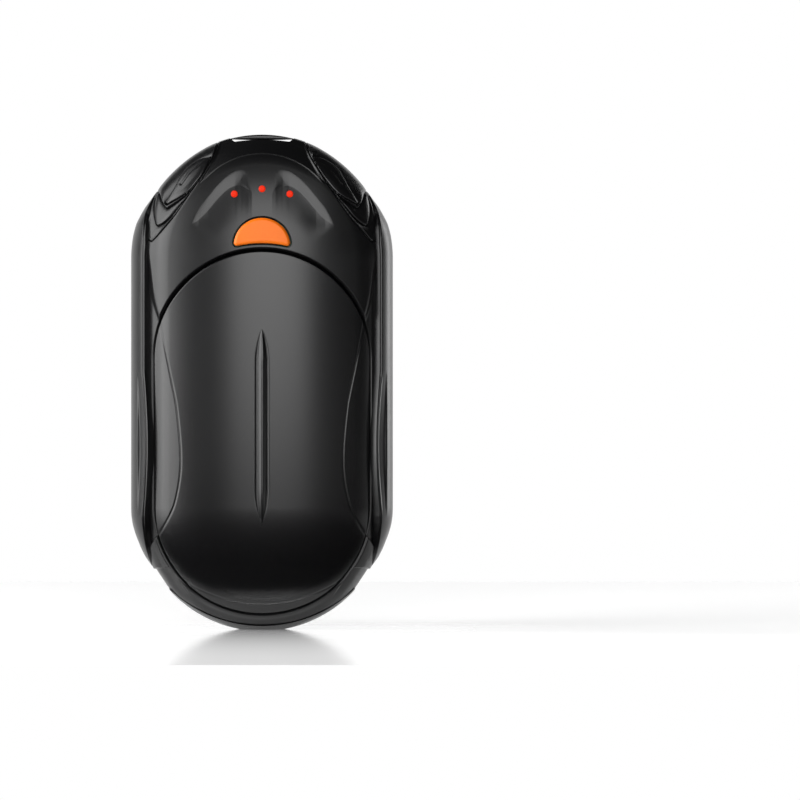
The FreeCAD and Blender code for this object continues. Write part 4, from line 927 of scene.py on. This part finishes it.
# radius and lift of each round up the pipe and over its dome
tip_rounds = [(light_radius, -3.0), (light_radius, -0.04), (0.6, 0.02)]
tip_rounds += [(0.45, 0.07), (0.25, 0.1), (0.02, 0.11)]
tip_sides = 40
for spot, (x, z) in lights.items():
    turn = np.linspace(0, 2 * math.pi, tip_sides, endpoint=False)
    centre = np.array([x]), np.array([z])
    base = front_relief(*as_seen(*centre)) + barrel(*centre)
    points = []
    for radius, lift in tip_rounds:
        depth = np.repeat(skin(*centre, base + lift)[:, 1], tip_sides)
        points.append(np.stack([x + radius * np.cos(turn), depth, z + radius * np.sin(turn)], -1))
    faces = list(grid_faces(len(tip_rounds), tip_sides, rounds_meet=False))
    faces += [range(tip_sides), range(tip_sides * (len(tip_rounds) - 1), tip_sides * len(tip_rounds))]
    pipe = put_mesh(f"light_{spot}_tip", np.vstack(points), faces, red_acrylic)
    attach(pipe, "case")
    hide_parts(f"light_pipe_{spot}")

# Lanyard bar: a black ABS bar, thick in the middle and thin at its ends, moulded across the slot.
# Its ends are let into both shells.
bar_half, bar_depth, bar_radius = 6.75, 1.08, 24.86
bar_underside, bar_bow, bar_thinnest = 97.78, 0.0035, 0.12
bar_squareness, bar_rounds, bar_sides = 0.6, 61, 28
bar_x = np.linspace(-bar_half, bar_half, bar_rounds)[:, None]
bar_top = high_centre + np.sqrt(bar_radius**2 - bar_x**2)
bar_low = np.minimum(bar_underside + bar_bow * bar_x**2, bar_top - bar_thinnest)
turn = np.linspace(0, 2 * math.pi, bar_sides, endpoint=False)
across, upward = (np.sign(way) * np.abs(way) ** bar_squareness for way in (np.cos(turn), np.sin(turn)))
bar_z = (bar_top + bar_low) / 2 + (bar_top - bar_low) / 2 * upward
bar_points = np.stack(np.broadcast_arrays(bar_x, bar_depth * across, bar_z), axis=-1)
bar_faces = list(grid_faces(bar_rounds, bar_sides, rounds_meet=False))
bar_faces += [range(bar_sides), range((bar_rounds - 1) * bar_sides, bar_rounds * bar_sides)]
bar = put_mesh("lanyard_rod", bar_points.reshape(-1, 3), bar_faces, satin_abs)
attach(bar, "case")
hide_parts("lanyard_bar")


# Port cover: a black ABS moulding that closes the charging bay and swings on a bead at its left end.
# It has the shells' satin skin, so that it hardly shows in the foot.
def dress(material, *names):
    """Gives solids that show their own shape a finish."""
    for name in names:
        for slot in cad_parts[name].material_slots:
            slot.material = material


dress(satin_abs, "port_cover")

# Cell frame: a black nylon moulding, screwed between the shells, that carries the boards and the cells.
# Glass fibre in it leaves a dull, faintly mottled skin.
fibre_bundle = 0.6
nylon = clouded(
    "black nylon, glass-filled moulded",
    fibre_bundle,
    3.0,
    ("#18181A", "#26262A"),
    {"Roughness": 0.55, "IOR": 1.53},
    bump={"Strength": 0.15, "Distance": 0.00003},
)
dress(nylon, "cell_frame")

# Pouch cells: two lithium cells, sealed in embossed aluminium-laminate foil and taped back to back.
# The foil is dull silver with shallow creases.
foil = new_material("aluminium laminate foil, embossed")
place = add_node(foil, "TexCoord")
# creases wander about 5 mm apart
crease = add_node(
    foil,
    "TexNoise",
    {"Vector": place.outputs["Object"], "Scale": 1 / 0.005, "Detail": 4.0, "Distortion": 0.6},
)
gloss = add_node(
    foil,
    "MapRange",
    {"Value": crease.outputs["Fac"], "From Min": 0.3, "From Max": 0.7, "To Min": 0.3, "To Max": 0.45},
)
relief = add_node(foil, "Bump", {"Height": crease.outputs["Fac"], "Strength": 0.3, "Distance": 0.0002})
body = add_node(
    foil,
    "BsdfPrincipled",
    {
        "Base Color": linear("#CFD0D3"),
        "Metallic": 1.0,
        "Roughness": gloss.outputs[0],
        "Normal": relief.outputs["Normal"],
    },
)
add_node(foil, "OutputMaterial", {"Surface": body.outputs[0]})
dress(foil, "front_cell", "rear_cell")

# Cell tape: a strip of white glass cloth, glued on both sides, that bonds the two cells.
# Its plain weave shows.
cloth_tape = new_material("white glass cloth, woven")
place = add_node(cloth_tape, "TexCoord")
# threads 0.5 mm apart both ways
weave = add_node(
    cloth_tape,
    "TexChecker",
    {
        "Vector": place.outputs["Object"],
        "Scale": 1 / 0.0005,
        "Color1": linear("#DDDBD2"),
        "Color2": linear("#CBC8BC"),
    },
)
relief = add_node(
    cloth_tape, "Bump", {"Height": weave.outputs["Fac"], "Strength": 0.3, "Distance": 0.00005}
)
body = add_node(
    cloth_tape,
    "BsdfPrincipled",
    {"Base Color": weave.outputs["Color"], "Roughness": 0.8, "Normal": relief.outputs["Normal"]},
)
add_node(cloth_tape, "OutputMaterial", {"Surface": body.outputs[0]})
dress(cloth_tape, "cell_tape")

# Circuit boards: glass-epoxy laminate under green solder mask, screwed and soldered in place.
# Copper tracks under the mask show as paler, raised green lines.
solder_mask = new_material("glass epoxy, green solder mask")
place = add_node(solder_mask, "TexCoord")
# tracks in cells of 2 by 1 mm
tracks = add_node(
    solder_mask,
    "TexBrick",
    {
        "Vector": place.outputs["Object"],
        "Scale": 1.0,
        "Brick Width": 0.002,
        "Row Height": 0.001,
        "Mortar Size": 0.00012,
        "Color1": linear("#0E4A26"),
        "Color2": linear("#115029"),
        "Mortar": linear("#1D7440"),
    },
)
relief = add_node(
    solder_mask, "Bump", {"Height": tracks.outputs["Fac"], "Strength": 0.3, "Distance": 0.00003}
)
body = add_node(
    solder_mask,
    "BsdfPrincipled",
    {
        "Base Color": tracks.outputs["Color"],
        "Roughness": 0.3,
        "IOR": 1.5,
        "Normal": relief.outputs["Normal"],
    },
)
add_node(solder_mask, "OutputMaterial", {"Surface": body.outputs[0]})
dress(solder_mask, "main_board", "port_board")

# Switch, its plunger and the thermistor: small black polyester mouldings with a dull, faintly grained skin.
# Switch and thermistor are soldered to the boards, and the plunger moves with the button.
moulded_grain = 0.2
polyester_finish = {"Roughness": 0.5, "IOR": 1.57}
polyester = clouded(
    "black polyester, moulded", moulded_grain, 2.0, ("#1B1B1C", "#242425"), polyester_finish
)
dress(polyester, "tact_switch", "switch_plunger", "thermistor")

# Light-emitting diodes: cream epoxy bodies, cast, and soldered to the main board under the light pipes.
# They are glossy, with cloudy phosphor in them.
phosphor_cloud = 0.3
epoxy_finish = {"Roughness": 0.2, "IOR": 1.54}
epoxy = clouded("cream epoxy, cast", phosphor_cloud, 2.0, ("#E9DFB4", "#F1EBCF"), epoxy_finish)
dress(epoxy, "led_left", "led_centre", "led_right")

# Charging socket: a shell drawn from steel strip, nickel plated and soldered to the port board.
# It is bright, with fine draw lines along its depth.
nickel = new_material("steel, drawn and nickel plated")
place = add_node(nickel, "TexCoord")
# draw lines 0.1 mm apart and 3 mm long
stretch = add_node(
    nickel, "Mapping", {"Vector": place.outputs["Object"], "Scale": (1 / 0.0001, 1 / 0.0001, 1 / 0.003)}
)
drawn = add_node(nickel, "TexNoise", {"Vector": stretch.outputs[0], "Scale": 1.0, "Detail": 2.0})
gloss = add_node(
    nickel,
    "MapRange",
    {"Value": drawn.outputs["Fac"], "From Min": 0.3, "From Max": 0.7, "To Min": 0.2, "To Max": 0.32},
)
body = add_node(
    nickel,
    "BsdfPrincipled",
    {"Base Color": linear("#CDCAC2"), "Metallic": 1.0, "Roughness": gloss.outputs[0]},
)
add_node(nickel, "OutputMaterial", {"Surface": body.outputs[0]})
dress(nickel, "usb_socket")

# Screws: thread-rolled steel, zinc plated, that hold the boards and close the case.
# The plating leaves a cloudy grey.
plating_cloud = 0.5
zinc_finish = {"Metallic": 1.0, "Roughness": 0.38}
zinc = clouded("steel, zinc plated", plating_cloud, 3.0, ("#B4B6BA", "#CED0D2"), zinc_finish)
dress(zinc, "board_screws", "case_screws")

# Leads: stranded copper in extruded silicone, red to the positive side and black to the negative.
# They are soldered at both ends, and a talc bloom dulls them a little.
talc_bloom = 1.0
silicone_finish = {"Roughness": 0.5, "IOR": 1.41}
for colour, shades, names in (
    ("red", ("#A01410", "#B01C16"), ("positive_lead", "charge_lead_left")),
    ("black", ("#141414", "#1C1C1C"), ("negative_lead", "charge_lead_right")),
):
    silicone = clouded(f"{colour} silicone, extruded", talc_bloom, 2.0, shades, silicone_finish)
    dress(silicone, *names)

# Heater films: etched copper-nickel tracks between amber polyimide films, bonded behind the heat panels.
# The tracks run up and down and show darker through the film.
polyimide = new_material("amber polyimide film, etched track")
place = add_node(polyimide, "TexCoord")
# tracks 2 mm apart
track = add_node(
    polyimide,
    "TexWave",
    {"Vector": place.outputs["Object"], "Scale": 0.05 / 0.002 * 2 * math.pi, "Distortion": 0.0},
    bands_direction="X",
)
tone = add_node(
    polyimide,
    "MixRGB",
    {"Fac": track.outputs["Fac"], "Color1": linear("#7A4A10"), "Color2": linear("#B8741E")},
)
body = add_node(
    polyimide, "BsdfPrincipled", {"Base Color": tone.outputs[0], "Roughness": 0.25, "IOR": 1.7}
)
add_node(polyimide, "OutputMaterial", {"Surface": body.outputs[0]})
dress(polyimide, "front_heater_film", "rear_heater_film")

# Foam pads: grey closed-cell foam, cut from sheet, that presses the films against the panels.
# Its cut face is dull and pitted.
foam = new_material("grey polyethylene foam, closed cell")
place = add_node(foam, "TexCoord")
# cells of 0.5 mm
cell = add_node(foam, "TexVoronoi", {"Vector": place.outputs["Object"], "Scale": 1 / 0.0005})
tone = add_node(
    foam,
    "MixRGB",
    {"Fac": cell.outputs["Distance"], "Color1": linear("#5A5A5C"), "Color2": linear("#6E6E70")},
)
relief = add_node(foam, "Bump", {"Height": cell.outputs["Distance"], "Strength": 0.4, "Distance": 0.0001})
body = add_node(
    foam,
    "BsdfPrincipled",
    {"Base Color": tone.outputs[0], "Roughness": 0.9, "Normal": relief.outputs["Normal"]},
)
add_node(foam, "OutputMaterial", {"Surface": body.outputs[0]})
dress(foam, "front_foam_pad", "rear_foam_pad")

# Case seal: a black silicone ring, moulded, that lies in the parting line inside the shells.
# A dusty bloom leaves it dull.
rubber = new_material("black silicone rubber, moulded")
place = add_node(rubber, "TexCoord")
# dusty bloom in patches of about 2 mm
bloom = add_node(
    rubber, "TexNoise", {"Vector": place.outputs["Object"], "Scale": 1 / 0.002, "Detail": 2.0}
)
gloss = add_node(
    rubber,
    "MapRange",
    {"Value": bloom.outputs["Fac"], "From Min": 0.3, "From Max": 0.7, "To Min": 0.55, "To Max": 0.7},
)
body = add_node(
    rubber,
    "BsdfPrincipled",
    {"Base Color": linear("#151515"), "Roughness": gloss.outputs[0], "IOR": 1.41},
)
add_node(rubber, "OutputMaterial", {"Surface": body.outputs[0]})
dress(rubber, "case_seal")
